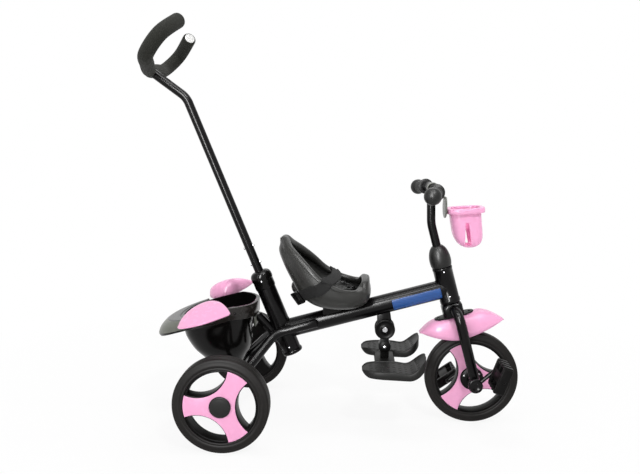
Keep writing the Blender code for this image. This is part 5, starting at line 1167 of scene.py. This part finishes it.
# Each station from the front lip to the top: middle line (x, z), rim (x, z), half width, squareness.
SEAT_STATIONS = (
    (0.3120, 0.3430, 0.3020, 0.3290, 0.052, 3.0), (0.3205, 0.3240, 0.2930, 0.3245, 0.076, 3.4),
    (0.3130, 0.3010, 0.2768, 0.3250, 0.090, 4.0), (0.2850, 0.2890, 0.2516, 0.3305, 0.099, 4.8),
    (0.2400, 0.2865, 0.2292, 0.3405, 0.102, 5.0), (0.1960, 0.2930, 0.2080, 0.3530, 0.102, 4.4),
    (0.1620, 0.3120, 0.1870, 0.3720, 0.097, 3.4), (0.1400, 0.3440, 0.1680, 0.3890, 0.085, 2.8),
    (0.1190, 0.3830, 0.1470, 0.4065, 0.067, 2.5), (0.1075, 0.4150, 0.1280, 0.4230, 0.043, 2.3),
    (0.1155, 0.4370, 0.1180, 0.4380, 0.014, 2.2),
)
SEAT_HEEL = ((0, 0.0190), (0.0050, 0.0186), (0.0090, 0.0172), (0.0125, 0.0148), (0.0152, 0.0112),
             (0.0168, 0.0070), (0.0176, 0.0020), (0.0180, -0.0030), (0, -0.0030))
BULGE, ROLL_INSET = 0.0062, 0.0034
BELT_RIMS = (0.392, 0.455)
BELT_FAR_SIDE = ((0.392, 0.62), (0.392, 0.80), (0.392, 0.94))
BELT_NEAR_SIDE = ((0.500, -0.97), (0.532, -0.91), (0.562, -0.77), (0.592, -0.50))
BELT_STEPS = 110
SLIDER_LONG, SLIDER_WIDE, SLIDER_THICK = 0.0140, 0.0160, 0.0030


def seat_point(along, across):
    """A point of the seat's middle skin: along from 0 (front lip) to 1 (top), across from -1 to 1."""
    mid_x, mid_z, rim_x, rim_z, half_width, shape = read_stations(SEAT_STATIONS, along)
    turn = abs(across) * math.pi / 2
    out = math.sin(turn) ** (2 / shape)
    rise = 1 - max(math.cos(turn), 0.0) ** (2 / shape)
    return Vector((mid_x + (rim_x - mid_x) * rise, math.copysign(out * half_width, across),
                   mid_z + (rim_z - mid_z) * rise))


def seat_outward(along, across):
    """The seat skin's outward direction, away from the rider."""
    step = 0.01
    side = seat_point(along, min(across + step, 1)) - seat_point(along, max(across - step, -1))
    lengthways = seat_point(min(along + step, 1), across) - seat_point(max(along - step, 0), across)
    return side.cross(lengthways).normalized() * -1


def seat_bulge(along, across):
    """Height of the swell that runs round the seat just under its rim."""
    into = min((1 - abs(across)) / 0.26, along / 0.080, (1 - along) / 0.070, 1.0)
    return BULGE * (1 + math.cos(math.pi * into)) / 2


def seat_skin(u, v):
    """The shell's outer skin, its grid drawn together towards the ends and the rim."""
    along, aside = (1 - math.cos(math.pi * u)) / 2, 2 * v - 1
    across = math.copysign(1 - (1 - abs(aside)) ** 1.6, aside)
    out = settings().seat.shell / 2 + seat_bulge(along, across)
    return seat_point(along, across) + seat_outward(along, across) * out


def seat_rim():
    """The seat's rim as a closed loop of evenly spaced points."""
    loop = [seat_point(i / 60, -1) for i in range(1, 60)]
    loop += [seat_point(1, -1 + i / 5) for i in range(11)]
    loop += [seat_point(1 - i / 60, 1) for i in range(1, 60)]
    loop += [seat_point(0, 1 - i / 12) for i in range(25)]
    for _ in range(3):
        loop = [(loop[i - 1] + loop[i] * 2 + loop[(i + 1) % len(loop)]) / 4 for i in range(len(loop))]
    middle = sum(loop, Vector()) / len(loop)
    return [point + (middle - point).normalized() * ROLL_INSET for point in loop]


def build_seat():
    sizes = settings().seat
    shell = skin(110, 96, seat_skin)
    bmesh.ops.recalc_face_normals(shell, faces=shell.faces)
    lowest = min(shell.faces, key=lambda face: face.calc_center_median().z)
    if lowest.normal.z > 0:
        bmesh.ops.reverse_faces(shell, faces=shell.faces)
    bmesh.ops.solidify(shell, geom=shell.faces[:], thickness=sizes.shell)
    rim, rings = seat_rim(), []
    for matrix in frames_along(rim + rim[:2], UP)[:-2]:
        up_the_back = min(max((matrix.translation.z - 0.362) / 0.045, 0), 1)
        rings.append(hoop(matrix, sizes.roll * (1 + 0.45 * up_the_back), 24))
    heel = lathe(SEAT_HEEL, Vector((0.1530, 0, 0.3235)), Vector((-0.97, 0, -0.24)), 48)
    whole = join(shell, loft(rings, closed=True), heel)
    add_piece("seat_shell", whole, "seat_plastic", "frame", "seat", smooth=60)
    # Two small black blocks on the seat's wall stand in for the belt slots: painted shade of openings that
    # are not cut.
    slot_shades = [soften(block((x - 0.0042, 0.0795, 0.3035), (x + 0.0042, 0.0835, 0.3080)), 0.0010)
             for x in (0.2700, 0.2820)]
    add_piece("seat_slots", join(*slot_shades), "paint", "frame", slot="black_plastic")


def belt_route():
    """Points and outward directions along the lap belt, from inside the left wall to the slider."""
    off = 0.0047 + settings().seat.belt_thickness / 2

    def on_shell(places):
        for along, across in places:
            normals.append(seat_outward(along, across))
            points.append(seat_point(along, across) + normals[-1] * (off + seat_bulge(along, across)))

    def over_rim(rim, up, out):
        points.append(rim + out * (off + 0.0030) + up * 0.0050)
        normals.append((out + up).normalized())

    points, normals, ups = [], [], []
    for along in BELT_RIMS:
        rim = (seat_point(along + 0.02, 1.0) - seat_point(along - 0.02, 1.0)).normalized()
        ups.append((UP - UP.dot(rim) * rim).normalized())
    far, near = seat_point(BELT_RIMS[0], 1.0), seat_point(BELT_RIMS[1], -1.0)
    on_shell(BELT_FAR_SIDE)
    over_rim(far, ups[0], LEFT)
    for share in (0.0, 0.3, 0.55, 0.8, 1.0):
        normals.append(ups[0].lerp(ups[1], share).normalized())
        bow = AHEAD * 0.012 * math.sin(math.pi * share)
        points.append(far.lerp(near, share) + normals[-1] * (off + 0.0040) + bow)
    over_rim(near, ups[1], -LEFT)
    on_shell(BELT_NEAR_SIDE)
    return points, normals


def build_belt():
    sizes = settings().seat
    path, faces = (smooth_path(points, BELT_STEPS) for points in belt_route())
    ways = [matrix.col[2].xyz for matrix in frames_along(path)]

    def strap(u, v):
        i = min(int(round(u * BELT_STEPS)), BELT_STEPS)
        return path[i] + ways[i].cross(faces[i]).normalized() * (v - 0.5) * sizes.belt_width

    add_piece("belt_webbing", skin(BELT_STEPS, 10, strap), "webbing", "frame", "lap_belt", smooth=60,
              wall=sizes.belt_thickness)
    normal, way = faces[-1].normalized(), ways[-1]
    across = way.cross(normal).normalized()
    matrix = Matrix((way, across, way.cross(across))).transposed().to_4x4()
    matrix.translation = path[-1] + way * SLIDER_LONG + normal * 0.0022
    long, wide, thick, narrow = SLIDER_LONG, SLIDER_WIDE, SLIDER_THICK, SLIDER_WIDE * 0.9
    parts = [block((-long, -wide, -thick), (-long + 0.0060, wide, thick)),
             block((long - 0.0060, -narrow, -thick), (long, narrow, thick)),
             block((-0.0090, -narrow, -thick * 0.6), (0.0090, narrow, thick * 1.3)),
             block((-long, -wide, -thick), (long, -wide + 0.0045, thick)),
             block((-long, wide - 0.0045, -thick), (long, wide, thick))]
    bm = soften(join(*parts), 0.0016, 3, 60)
    bmesh.ops.transform(bm, matrix=matrix, verts=bm.verts)
    add_piece("belt_ladder", bm, "bin_gloss", "frame", "belt_slider", slot="black_plastic")


# Footrest

FOOTREST_X, PIVOT_Z, KNUCKLE_Z, SHAFT_LOW = 0.3577, 0.2243, 0.1822, 0.1563
CHEEK_IN, CHEEK_OUT, CHEEK_RADIUS, KNUCKLE_RADIUS, EAR_RADIUS = 0.0085, 0.0155, 0.024, 0.0142, 0.0185
PLATE_REAR, PLATE_FRONT, PLATE_LOW, PLATE_THICK, PLATE_CURL = 0.303, 0.447, 0.1415, 0.0165, 0.024
PLATE_OUT, PLATE_HALF, PLATE_STEPS, STUD_ROWS = 0.087, 0.045, 56, 9


def build_footrest():
    pivot, knuckle = Vector((FOOTREST_X, 0, PIVOT_Z)), Vector((FOOTREST_X, 0, KNUCKLE_Z))
    radius, low, high = CHEEK_RADIUS, CHEEK_IN, CHEEK_OUT
    profile = [(0.0045, low), (radius - 0.0008, low), (radius, low + 0.0008), (radius, high - 0.0012),
               (radius - 0.0012, high), (radius - 0.0042, high), (radius - 0.0050, high - 0.0008),
               (0.0095, high - 0.0008), (0.0088, high), (0.0045, high)]
    cheeks = [lathe([(r, y * sign) for r, y in profile], pivot, LEFT, 72, UP) for _, sign in SIDES]
    shaft_high = PIVOT_Z - radius + 0.004
    shaft = block((FOOTREST_X - 0.010, -high, SHAFT_LOW), (FOOTREST_X + 0.010, high, shaft_high))
    end = high + 0.0015
    hub = lathe(drum(0, KNUCKLE_RADIUS, -end, end, 0.0012), knuckle, LEFT, 56, UP)
    add_piece("strut_moulding", join(*cheeks, soften(shaft, 0.0015), hub), "moulding", "footrest",
              "footrest_strut")
    heads = [screw(knuckle + LEFT * sign * end, LEFT * sign, 0.0042, 0.002) for _, sign in SIDES]
    add_piece("knuckle_screws", join(*heads), "steel", "footrest")

    ear = [pivot + leaning(turn)[0] * EAR_RADIUS for turn in spaced(math.pi, 2 * math.pi, 32)]
    above, ahead = main_axis(FOOTREST_X - 0.005), main_axes()[0]
    ear += [above + ahead * 0.0145, above - ahead * 0.0145]
    ear = plate([[point - LEFT * 0.008 for point in ear]], LEFT * 0.016)
    add_piece("footrest_ear", soften(ear, 0.0008), "paint", "frame", "footrest_bracket")

    bridge = block((FOOTREST_X - 0.024, -0.0417, 0.143), (FOOTREST_X + 0.024, 0.0417, 0.156))
    tongue = block((FOOTREST_X - 0.016, -0.0717, 0.1475), (FOOTREST_X + 0.016, 0.0717, 0.1515))
    add_piece("bridge_moulding", join(soften(bridge, 0.005, 4), tongue), "moulding", "footrest",
              "footrest_bridge")
    for side, sign in SIDES:
        build_footplate(side, sign * PLATE_OUT)


def plate_x(share):
    return PLATE_REAR + (PLATE_FRONT - PLATE_REAR) * share


def plate_low(share):
    heel = 0.010 * max(0.0, 1 - share / 0.13) ** 2
    toe = PLATE_CURL * max(0.0, (share - 0.74) / 0.26) ** 1.8
    return PLATE_LOW - 0.0035 * min(1.0, share / 0.7) + heel + toe


def plate_top(share):
    heel = -0.004 * max(0.0, 1 - share / 0.10) ** 2
    dip = -0.004 * math.exp(-((share - 0.72) / 0.14) ** 2)
    toe = (PLATE_CURL + 0.004) * max(0.0, (share - 0.70) / 0.30) ** 1.7
    return PLATE_LOW + PLATE_THICK + heel + dip + toe


def plate_width(share):
    heel = (1 - min(1.0, 1 - share / 0.38) ** 2.4) ** 0.5 if share < 0.38 else 1.0
    toe = (1 - ((share - 0.80) / 0.20) ** 3.0) ** 0.5 if share > 0.80 else 1.0
    return PLATE_HALF * (0.22 + 0.78 * min(heel, toe)) * (0.95 + 0.05 * share)


def footplate_ring(share, middle):
    """The plate's outline at a share of its length, with an edge that stands above the tread."""
    width, low, top = plate_width(share), plate_low(share), plate_top(share)
    r, edge = min(0.0035, width * 0.3), min(0.0055, width * 0.4)
    half = [(width - r, low), (width - r * 0.3, low + r * 0.3), (width, low + r), (width, top - r * 0.6),
            (width - r * 0.25, top - r * 0.15), (width - r * 0.7, top), (width - edge, top),
            (width - edge - 0.0010, top - 0.0014)]
    outline = [(r - width, low)] + half + [(-y, z) for y, z in half[:0:-1]]
    return [Vector((plate_x(share), middle + y, z)) for y, z in outline]


def build_footplate(side, middle):
    """Foot-shaped plate with a raised edge, rows of studs and a toe that curls up."""
    shares = [(1 - math.cos(turn)) / 2 for turn in spaced(0, math.pi, PLATE_STEPS)]
    parts = [loft([footplate_ring(share, middle) for share in shares])]
    for row in range(STUD_ROWS):
        share = 0.14 + row * 0.092
        half = plate_width(share) - 0.0095
        rise = plate_top(share + 0.01) - plate_top(share - 0.01)
        slope = math.atan2(rise, plate_x(share + 0.01) - plate_x(share - 0.01))
        count = 5 if half > 0.024 else 3
        for i in range(count):
            y = middle + half * (2 * i / (count - 1) - 1) * 0.86
            place = Matrix.Translation((plate_x(share), y, plate_top(share) - 0.0011))
            turned = Matrix.Rotation(math.radians(28) * (1 if (row + i) % 2 else -1), 4, "Z")
            stud = soften(block((-0.0042, -0.0014, -0.0014), (0.0042, 0.0014, 0.0002)), 0.0005, 1)
            matrix = place @ Matrix.Rotation(-slope, 4, "Y") @ turned
            bmesh.ops.transform(stud, matrix=matrix, verts=stud.verts)
            parts.append(stud)
    add_piece(f"{side}_footplate_moulding", join(*parts), "plate_plastic", "footrest", f"{side}_footplate",
              smooth=45)


# Rear bin, wings and lip

BIN_X, BIN_Z, BIN_LEVEL_X, BIN_SHAPE, BIN_LEDGE = -0.037, 0.2797, 0.003, 2.6, 0.006
# Each station of the body: middle (x, z), slope in degrees, half length, half width.
BIN_BODY = ((-0.0410, 0.2410, 10, 0.0825, 0.0845), (-0.0395, 0.2150, 7, 0.0780, 0.0790),
            (-0.0315, 0.1800, 3, 0.0680, 0.0680), (-0.0270, 0.1560, 0, 0.0520, 0.0540),
            (-0.0260, 0.1455, 0, 0.0460, 0.0460))
BIN_FLOOR = Vector((-0.0260, 0, 0.142))
WING_REAR, WING_FRONT, WING_TIP, WING_OUT = -0.0950, 0.0155, 0.177, 0.030
LIP_X, LIP_LONG, LIP_WIDE, LIP_HEIGHT, LIP_FRONT, LIP_SHAPE = -0.050, 0.104, 0.110, 0.035, -0.088, 2.1
# The lip from the bin's rim outwards: share of its drop, share of its flare.
LIP_FLARE = ((0.05, 0.30), (0.20, 0.52), (0.46, 0.76), (0.80, 0.92), (1.0, 0.88))
LIP_PALE = (0.42, 0.87)


def deck_height(x):
    return BIN_Z + (x - BIN_X) * math.tan(settings().bin.tilt)


def build_bin():
    sizes = settings().bin
    wall, band, ledge = sizes.wall, sizes.band, BIN_LEDGE

    def rim_ring(inset, drop):
        ring = oval(Vector((BIN_X, 0, 0)), AHEAD, LEFT, sizes.half_length - inset, sizes.half_width - inset,
                    BIN_SHAPE)
        return [Vector((point.x, point.y, deck_height(min(point.x, BIN_LEVEL_X)) - drop)) for point in ring]

    def floor_ring(rise, half):
        return oval(BIN_FLOOR + UP * rise, AHEAD, LEFT, half, half, BIN_SHAPE)

    def body(t, inset):
        x, z, slope, a, b = read_stations(BIN_BODY, t)
        ahead = leaning(math.radians(slope))[0]
        return oval(Vector((x, 0, z)), ahead, LEFT, a - inset, b - inset, BIN_SHAPE)

    steps = spaced(0, 1, 26)
    rings = [floor_ring(wall, 0.040)] + [body(t, wall) for t in reversed(steps[:-3])]
    rings += [rim_ring(inset, drop) for inset, drop in (
        (ledge + wall, 0.0010), (ledge + wall - 0.0008, 0.0), (0.0022, 0.0), (0.0006, 0.0006), (0.0, 0.0020),
        (0.0, band - 0.0008), (0.0008, band), (wall, band), (wall, wall), (ledge, wall))]
    rings += [body(t, 0) for t in steps] + [floor_ring(0.0012, 0.0446), floor_ring(0.0, 0.043)]
    bowl = add_piece("bin_bowl", loft(rings), "bin_gloss", "frame", "rear_bin", smooth=60)
    paint_bin(bowl)
    arm = rod(Vector((SOCKET_X, 0, 0.1850)), Vector((0.052, 0, 0.2525)), 0.0107, 40)
    add_piece("bin_arm", arm, "paint", "frame", "bin_support")
    face = soften(block((0.0475, -0.026, 0.230), (0.0510, 0.026, 0.2545)), 0.0010)
    add_piece("bin_plate", face, "lip_plastic", "frame")
    place = Vector((0.012, -sizes.half_width * 0.93 - 0.0006, deck_height(BIN_LEVEL_X) - band * 0.5))
    add_piece("bin_screw", screw(place, Vector((0.35, -1, 0)), 0.0026), "bin_gloss", "frame")


def paint_bin(bowl):
    """Gives the inside a duller black without gloss, painted shade inside the bowl, and the band round the
    rim a lighter brownish one, painted highlight.
    """
    sizes = settings().bin
    for name in ("bin_inside", "bin_edge"):
        bowl.data.materials.append(material(name))
    for face in bowl.data.polygons:
        out = face.center - Vector((BIN_X + AXLE_X, 0, face.center.z))
        reach = abs(out.x / sizes.half_length) ** BIN_SHAPE + abs(out.y / sizes.half_width) ** BIN_SHAPE
        # Inward faces and the floor get the glossless black: painted shade.
        if out.dot(face.normal) < -0.2 * out.length or face.normal.z > 0.9 and reach < 0.8:
            face.material_index = 1
        # Faces round the rim get the lighter band black: painted highlight.
        elif reach > 0.9:
            face.material_index = 2


def wing_point(sign, u, v):
    """A wing's middle skin: u from its rear tip to its front tip, v from the bin outwards."""
    share = (1 - math.cos(math.pi * u)) / 2
    x = WING_REAR + (WING_FRONT - WING_REAR) * share
    swell = max(math.sin(math.pi * share ** 0.86), 0.0)
    beside = settings().bin.half_width + 0.0023
    inner = WING_TIP - 0.004 - (WING_TIP - 0.004 - beside) * swell ** (0.45 + 0.35 * share)
    outer = WING_TIP + 0.004 + WING_OUT * swell ** (0.5 + 0.5 * share)
    across = v ** 1.25
    crown = settings().bin.wing_crown * swell ** (0.46 + 0.4 * share ** 2)
    crown *= math.sin(math.pi * across ** 0.5)
    skirt = 0.0090 * max(1 - v / 0.05, 0.0) * swell ** 0.4
    return Vector((x, sign * (inner + (outer - inner) * across), deck_height(x) + 0.0035 + crown - skirt))


def build_wings():
    for side, sign in SIDES:
        bm = skin(56, 36, lambda u, v, sign=sign: wing_point(sign, u, v))
        add_piece(f"{side}_wing_shell", bm, "pink_gloss", "frame", f"{side}_wing", smooth=70, wall=0.003)


def lip_point(u, v):
    """The lip's skin: u round the back of the bin, v from the bin's rim outwards and down the flare."""
    sizes = settings().bin
    deck_ahead, deck_up = leaning(sizes.tilt)
    centre = Vector((LIP_X, 0, deck_height(LIP_X)))

    def around(start, a, b, shape):
        turn = start + (2 * math.pi - 2 * start) * u
        return bent(math.cos(turn), 2 / shape) * a, bent(math.sin(turn), 2 / shape) * b

    def on_ring(height, flare):
        a, b = LIP_LONG - 0.0025 + 0.048 * flare, LIP_WIDE - 0.0020 + 0.009 * flare
        start = math.acos(-min(abs(LIP_FRONT - LIP_X) / (a * math.cos(sizes.tilt)), 1.0) ** 1.05)
        out, side = around(start, a, b, LIP_SHAPE)
        return centre + deck_ahead * out + LEFT * side + deck_up * (height - height * 0.42 * (side / b) ** 2)

    def at_rim(lower, gap):
        a, b = sizes.half_length + gap, sizes.half_width + gap
        start = math.acos(-(abs(LIP_FRONT - BIN_X) / a) ** (BIN_SHAPE / 2))
        out, side = around(start, a, b, BIN_SHAPE)
        return Vector((BIN_X + out, side, deck_height(BIN_X + out) - lower))

    stations = [at_rim(0.0040, 0.0010), at_rim(0.0012, 0.0022), on_ring(-0.0010, -0.02)]
    stations += [on_ring(-LIP_HEIGHT * drop, flare) for drop, flare in LIP_FLARE]
    return Vector(read_stations(stations, v))


def build_lip():
    hood = skin(96, 48, lip_point)
    layer = hood.loops.layers.uv.active
    for face in hood.faces:
        face.material_index = int(not LIP_PALE[0] < face.loops[0][layer].uv.y < LIP_PALE[1])
    lip = add_piece("lip_hood", hood, "lip_plastic", "frame", "bin_rear_lip", smooth=60, wall=0.003)
    lip.data.materials.append(material("bin_gloss"))


# Push handle

HANDLE_YAW, HANDLE_TILT, HEAD_RISE = math.radians(8.4), math.radians(48.4), math.radians(36.1)
# Half the grip from the hub: ahead, aside.
HANDLE_ARM = ((0.009, 0.083), (0.024, 0.160), (0.074, 0.190), (0.123, 0.132))
PLUG = ((0, 0.0), (0.0122, 0.0), (0.0124, 0.0008), (0.0114, 0.0014), (0.0060, 0.0010), (0, 0.0006))
SNAP = ((0, 0.0078), (0.0036, 0.0078), (0.0036, 0.0092), (0.0027, 0.0094), (0.0027, 0.0124), (0.0024, 0.0132),
        (0.0016, 0.0137), (0, 0.0139))
SNAP_HEIGHTS = {"lower": 0.021, "upper": 0.063}


def pole_top():
    """Where the pole bends, and where it meets the grip."""
    bend = pole_point(settings().handle.pole_length)
    rearward = Vector((-math.cos(HEAD_RISE), 0, math.sin(HEAD_RISE)))
    return bend, bend + rearward * settings().handle.head_length


def grip_path(steps=64):
    """The C grip's middle line from its right end round to its left end."""
    across = Vector((-math.sin(HANDLE_YAW), math.cos(HANDLE_YAW), 0))
    level = Vector((math.cos(HANDLE_YAW), math.sin(HANDLE_YAW), 0))
    out = level * math.cos(HANDLE_TILT) + UP * math.sin(HANDLE_TILT)
    arms = [(ahead, -aside) for ahead, aside in reversed(HANDLE_ARM)] + [(0, 0), *HANDLE_ARM]
    stations = [pole_top()[1] + out * ahead + across * aside for ahead, aside in arms]
    return smooth_path(stations, steps), across.cross(out)


def foam_sleeve(path, hint, radius, bore):
    """A foam sleeve with rounded ends, open at the bore."""
    matrices = frames_along(path, hint)
    ends = [(radius - 0.0016) / radius, (radius - 0.0005) / radius]
    sizes = ends + [1.0] * (len(path) - 4) + ends[::-1]
    rings = [hoop(matrix, radius * size, 40) for matrix, size in zip(matrices, sizes)]
    return loft(rings + [hoop(matrix, bore, 40) for matrix in reversed(matrices)], closed=True)


def build_push_handle():
    sizes = settings().handle
    corners = [pole_point(-0.170), *pole_top()]
    path, hint = grip_path()
    pole = sweep(frames_along(rounded_path(corners, 0.050, 16)), sizes.pole_radius, 48)
    grip = sweep(frames_along(path, hint), sizes.pole_radius, 32)
    add_piece("pole_steel", join(pole, grip), "paint", "push_handle", "push_pole")
    middle = len(path) // 2
    for side, part in (("right", path[:middle]), ("left", path[middle:])):
        sleeve = foam_sleeve(smooth_path(part, 80), hint, sizes.foam_radius, sizes.pole_radius + 0.0004)
        item = add_piece(f"{side}_foam_sleeve", sleeve, "foam", "push_handle", f"{side}_foam_grip", smooth=60)
    plugs = []
    for end, inward in ((path[0], path[1]), (path[-1], path[-2])):
        out = (end - inward).normalized()
        plugs.append(lathe(PLUG, end + out * 0.0001, out, 40, UP))
    add_piece("grip_plugs", join(*plugs), "plug_plastic", "push_handle")
    for level, height in SNAP_HEIGHTS.items():
        for face, sign in (("front", 1), ("rear", -1)):
            snap = lathe(SNAP, pole_point(height), leaning(tubes().socket_lean)[0] * sign, 32)
            add_piece(f"{level}_{face}_snap", snap, "steel", f"{level}_{face}_button_body",
                      f"{level}_{face}_button")


# Stage

CAMERA_PLACE, CAMERA_TURNS = (0.27742, -1.60027, 0.66302), (-2.7136, 7.8207, 0.241)
LAMP_TARGET = Vector((0, 0, 0.35))
# Each lamp or card: name, place, width and height, power setting, share of that power.
LAMPS = (
    ("key lamp", (0.9, -2.1, 2.6), (0.36, 0.36), "key", 1.0),
    ("top lamp", (0.0, -0.15, 2.8), (1.8, 0.13), "soft", 1.0),
    ("side lamp", (-2.1, -2.1, 1.1), (0.13, 2.6), "soft", 1.2),
    ("back lamp", (0.4, 2.2, 2.3), (1.6, 0.5), "soft", 0.6),
    ("front card", (-0.6, -2.4, 1.2), (0.4, 2.0), "card", 0.8),
    ("upper card", (0.1, -1.1, 2.6), (2.2, 0.4), "card", 0.3),
)
WHITE = (1.0, 1.0, 1.0, 1.0)


def build_camera(lens):
    """The camera from its place and its yaw, pitch and roll in degrees."""
    yaw, pitch, roll = (math.radians(turn) for turn in CAMERA_TURNS)
    ahead = Vector((math.sin(yaw) * math.cos(pitch), math.cos(yaw) * math.cos(pitch), -math.sin(pitch)))
    right = Vector((math.cos(yaw), -math.sin(yaw), 0))
    upward = right.cross(ahead)
    right, upward = (math.cos(roll) * right + math.sin(roll) * upward,
                     -math.sin(roll) * right + math.cos(roll) * upward)
    data = bpy.data.cameras.new("camera")
    data.lens, data.sensor_width, data.clip_start, data.clip_end = lens, 36.0, 0.05, 60.0
    camera = place_object("camera", data)
    matrix = Matrix((right, upward, -ahead)).transposed().to_4x4()
    x, y, z = CAMERA_PLACE
    matrix.translation = (x + AXLE_X, y, z)
    camera.matrix_world = matrix
    bpy.context.scene.camera = camera


def build_stage():
    sizes = settings().stage
    bpy.context.scene.view_settings.view_transform = "Standard"
    build_camera(sizes.lens)
    bm = bmesh.new()
    bmesh.ops.create_grid(bm, x_segments=1, y_segments=1, size=14.0)
    floor = place_object("floor", as_mesh(bm, "floor"))
    floor.data.materials.append(floor_material(sizes.floor))
    build_world(sizes.fill)
    for name, place, size, setting, share in LAMPS:
        lamp = bpy.data.lights.new(name, "AREA")
        lamp.shape = "DISK" if name == "key lamp" else "RECTANGLE"
        (lamp.size, lamp.size_y), lamp.energy = size, getattr(sizes, setting) * share
        item = place_object(name, lamp)
        item.location = place
        item.rotation_euler = (LAMP_TARGET - Vector(place)).to_track_quat("-Z", "Y").to_euler()
        item.visible_diffuse = setting != "card"


def seen_directly(tree):
    """1 for a ray that the camera, a gloss or a clear material sends straight to what it shows."""
    path = tree.nodes.new("ShaderNodeLightPath")
    seen = maths(tree, "MAXIMUM", path.outputs["Is Camera Ray"], path.outputs["Is Transmission Ray"])
    return maths(tree, "MAXIMUM", seen, path.outputs["Is Glossy Ray"])


def white_light(node, strength):
    node.inputs["Color"].default_value = WHITE
    node.inputs["Strength"].default_value = strength
    return node.outputs[0]


def show_mix(tree, share, first, second, output):
    """Mixes two shaders by the share, and sends them to the output node's surface."""
    mix = tree.nodes.new("ShaderNodeMixShader")
    for value, socket in ((share, mix.inputs["Fac"]), (first, mix.inputs[1]), (second, mix.inputs[2]),
                          (mix.outputs["Shader"], tree.nodes[output].inputs["Surface"])):
        tree.links.new(value, socket)


def floor_material(paper_colour):
    """Pale paper that glows for what sees it directly, less so close to the tricycle."""
    made = bpy.data.materials.new("floor_paper")
    made.use_nodes = True
    tree = made.node_tree
    shader = tree.nodes["Principled BSDF"]
    shader.inputs["Roughness"].default_value = 0.9
    shader.inputs["Specular IOR Level"].default_value = 0.1
    place = coordinates(tree)
    fibres = noise(tree, place, 40.0, 4.0)
    paper = mix_colours(tree, fibres, tuple(value * 0.985 for value in paper_colour), tuple(paper_colour))
    tree.links.new(paper, shader.inputs["Base Color"])
    away = tree.nodes.new("ShaderNodeVectorMath")
    away.operation = "LENGTH"
    tree.links.new(place, away.inputs[0])
    share = spread(tree, away.outputs["Value"], 0.55, 1.3, 0.90, 1.0)
    show_mix(tree, maths(tree, "MULTIPLY", seen_directly(tree), share), shader.outputs["BSDF"],
             white_light(tree.nodes.new("ShaderNodeEmission"), 1.0), "Material Output")
    return made


def build_world(strength):
    """Even light of this strength, behind a white backdrop."""
    world = bpy.context.scene.world = bpy.data.worlds.new("studio")
    world.use_nodes = True
    tree = world.node_tree
    show_mix(tree, seen_directly(tree), white_light(tree.nodes["Background"], strength),
             white_light(tree.nodes.new("ShaderNodeBackground"), 1.0), "World Output")


# Operators

def run(*builders):
    """Calls the builders in turn, and gives an operator's result."""
    for build in builders:
        build()
    return {"FINISHED"}


class StageOperator(bpy.types.Operator):
    """Make the camera, the pale floor and the soft lamps"""
    bl_idname = "tricycle.stage"
    bl_label = "Stage"

    def execute(self, context):
        return run(build_stage)


class WheelsOperator(bpy.types.Operator):
    """Make the tyres, rims, covers and hub caps"""
    bl_idname = "tricycle.wheels"
    bl_label = "Wheels"

    def execute(self, context):
        return run(build_rear_wheels, build_front_wheel)


class PedalsOperator(bpy.types.Operator):
    """Make the crank and the pedals"""
    bl_idname = "tricycle.pedals"
    bl_label = "Crank and Pedals"

    def execute(self, context):
        return run(build_crank, build_pedals)


class FrameOperator(bpy.types.Operator):
    """Make the steel tubes, their welds and their plastic ends"""
    bl_idname = "tricycle.frame"
    bl_label = "Frame"

    def execute(self, context):
        return run(build_frame, build_band)


class ForkOperator(bpy.types.Operator):
    """Make the fork and the fender"""
    bl_idname = "tricycle.fork"
    bl_label = "Fork and Fender"

    def execute(self, context):
        return run(build_fork, build_fender)


class HandlebarOperator(bpy.types.Operator):
    """Make the handlebar, its stem, cover and grips"""
    bl_idname = "tricycle.handlebar"
    bl_label = "Handlebar"

    def execute(self, context):
        return run(build_handlebar, build_grips)


class BasketOperator(bpy.types.Operator):
    """Make the front basket and its bracket"""
    bl_idname = "tricycle.basket"
    bl_label = "Basket"

    def execute(self, context):
        return run(build_basket)


class SeatOperator(bpy.types.Operator):
    """Make the bucket seat and the lap belt"""
    bl_idname = "tricycle.seat"
    bl_label = "Seat and Belt"

    def execute(self, context):
        return run(build_seat, build_belt)


class FootrestOperator(bpy.types.Operator):
    """Make the folding footrest"""
    bl_idname = "tricycle.footrest"
    bl_label = "Footrest"

    def execute(self, context):
        return run(build_footrest)


class BinOperator(bpy.types.Operator):
    """Make the rear bin, its wings and its lip"""
    bl_idname = "tricycle.bin"
    bl_label = "Bin and Wings"

    def execute(self, context):
        return run(build_bin, build_wings, build_lip)


class PushHandleOperator(bpy.types.Operator):
    """Make the push pole, its foam grips and snap buttons"""
    bl_idname = "tricycle.push_handle"
    bl_label = "Push Handle"

    def execute(self, context):
        return run(build_push_handle)


OPERATORS = (StageOperator, WheelsOperator, PedalsOperator, FrameOperator, ForkOperator, HandlebarOperator,
             BasketOperator, SeatOperator, FootrestOperator, BinOperator, PushHandleOperator)


class TricyclePanel(bpy.types.Panel):
    """Lists the tricycle's pieces and settings"""
    bl_idname = "VIEW3D_PT_tricycle"
    bl_label = "Push Tricycle"
    bl_space_type = "VIEW_3D"
    bl_region_type = "UI"
    bl_category = "Tricycle"

    def draw(self, context):
        for operator in OPERATORS:
            self.layout.operator(operator.bl_idname)
        for name, group in GROUPS.items():
            box = self.layout.box()
            box.label(text=name.title())
            values = getattr(context.scene.tricycle, name)
            for key in group.__annotations__:
                box.prop(values, key)


def register():
    for item in (*GROUPS.values(), TricycleSettings, *OPERATORS, TricyclePanel):
        bpy.utils.register_class(item)
    bpy.types.Scene.tricycle = bpy.props.PointerProperty(type=TricycleSettings)


def unregister():
    del bpy.types.Scene.tricycle
    for item in (TricyclePanel, *reversed(OPERATORS), TricycleSettings, *GROUPS.values()):
        bpy.utils.unregister_class(item)


def main():
    register()
    for operator in OPERATORS:
        category, name = operator.bl_idname.split(".")
        getattr(getattr(bpy.ops, category), name)()


if __name__ == "__main__":
    main()
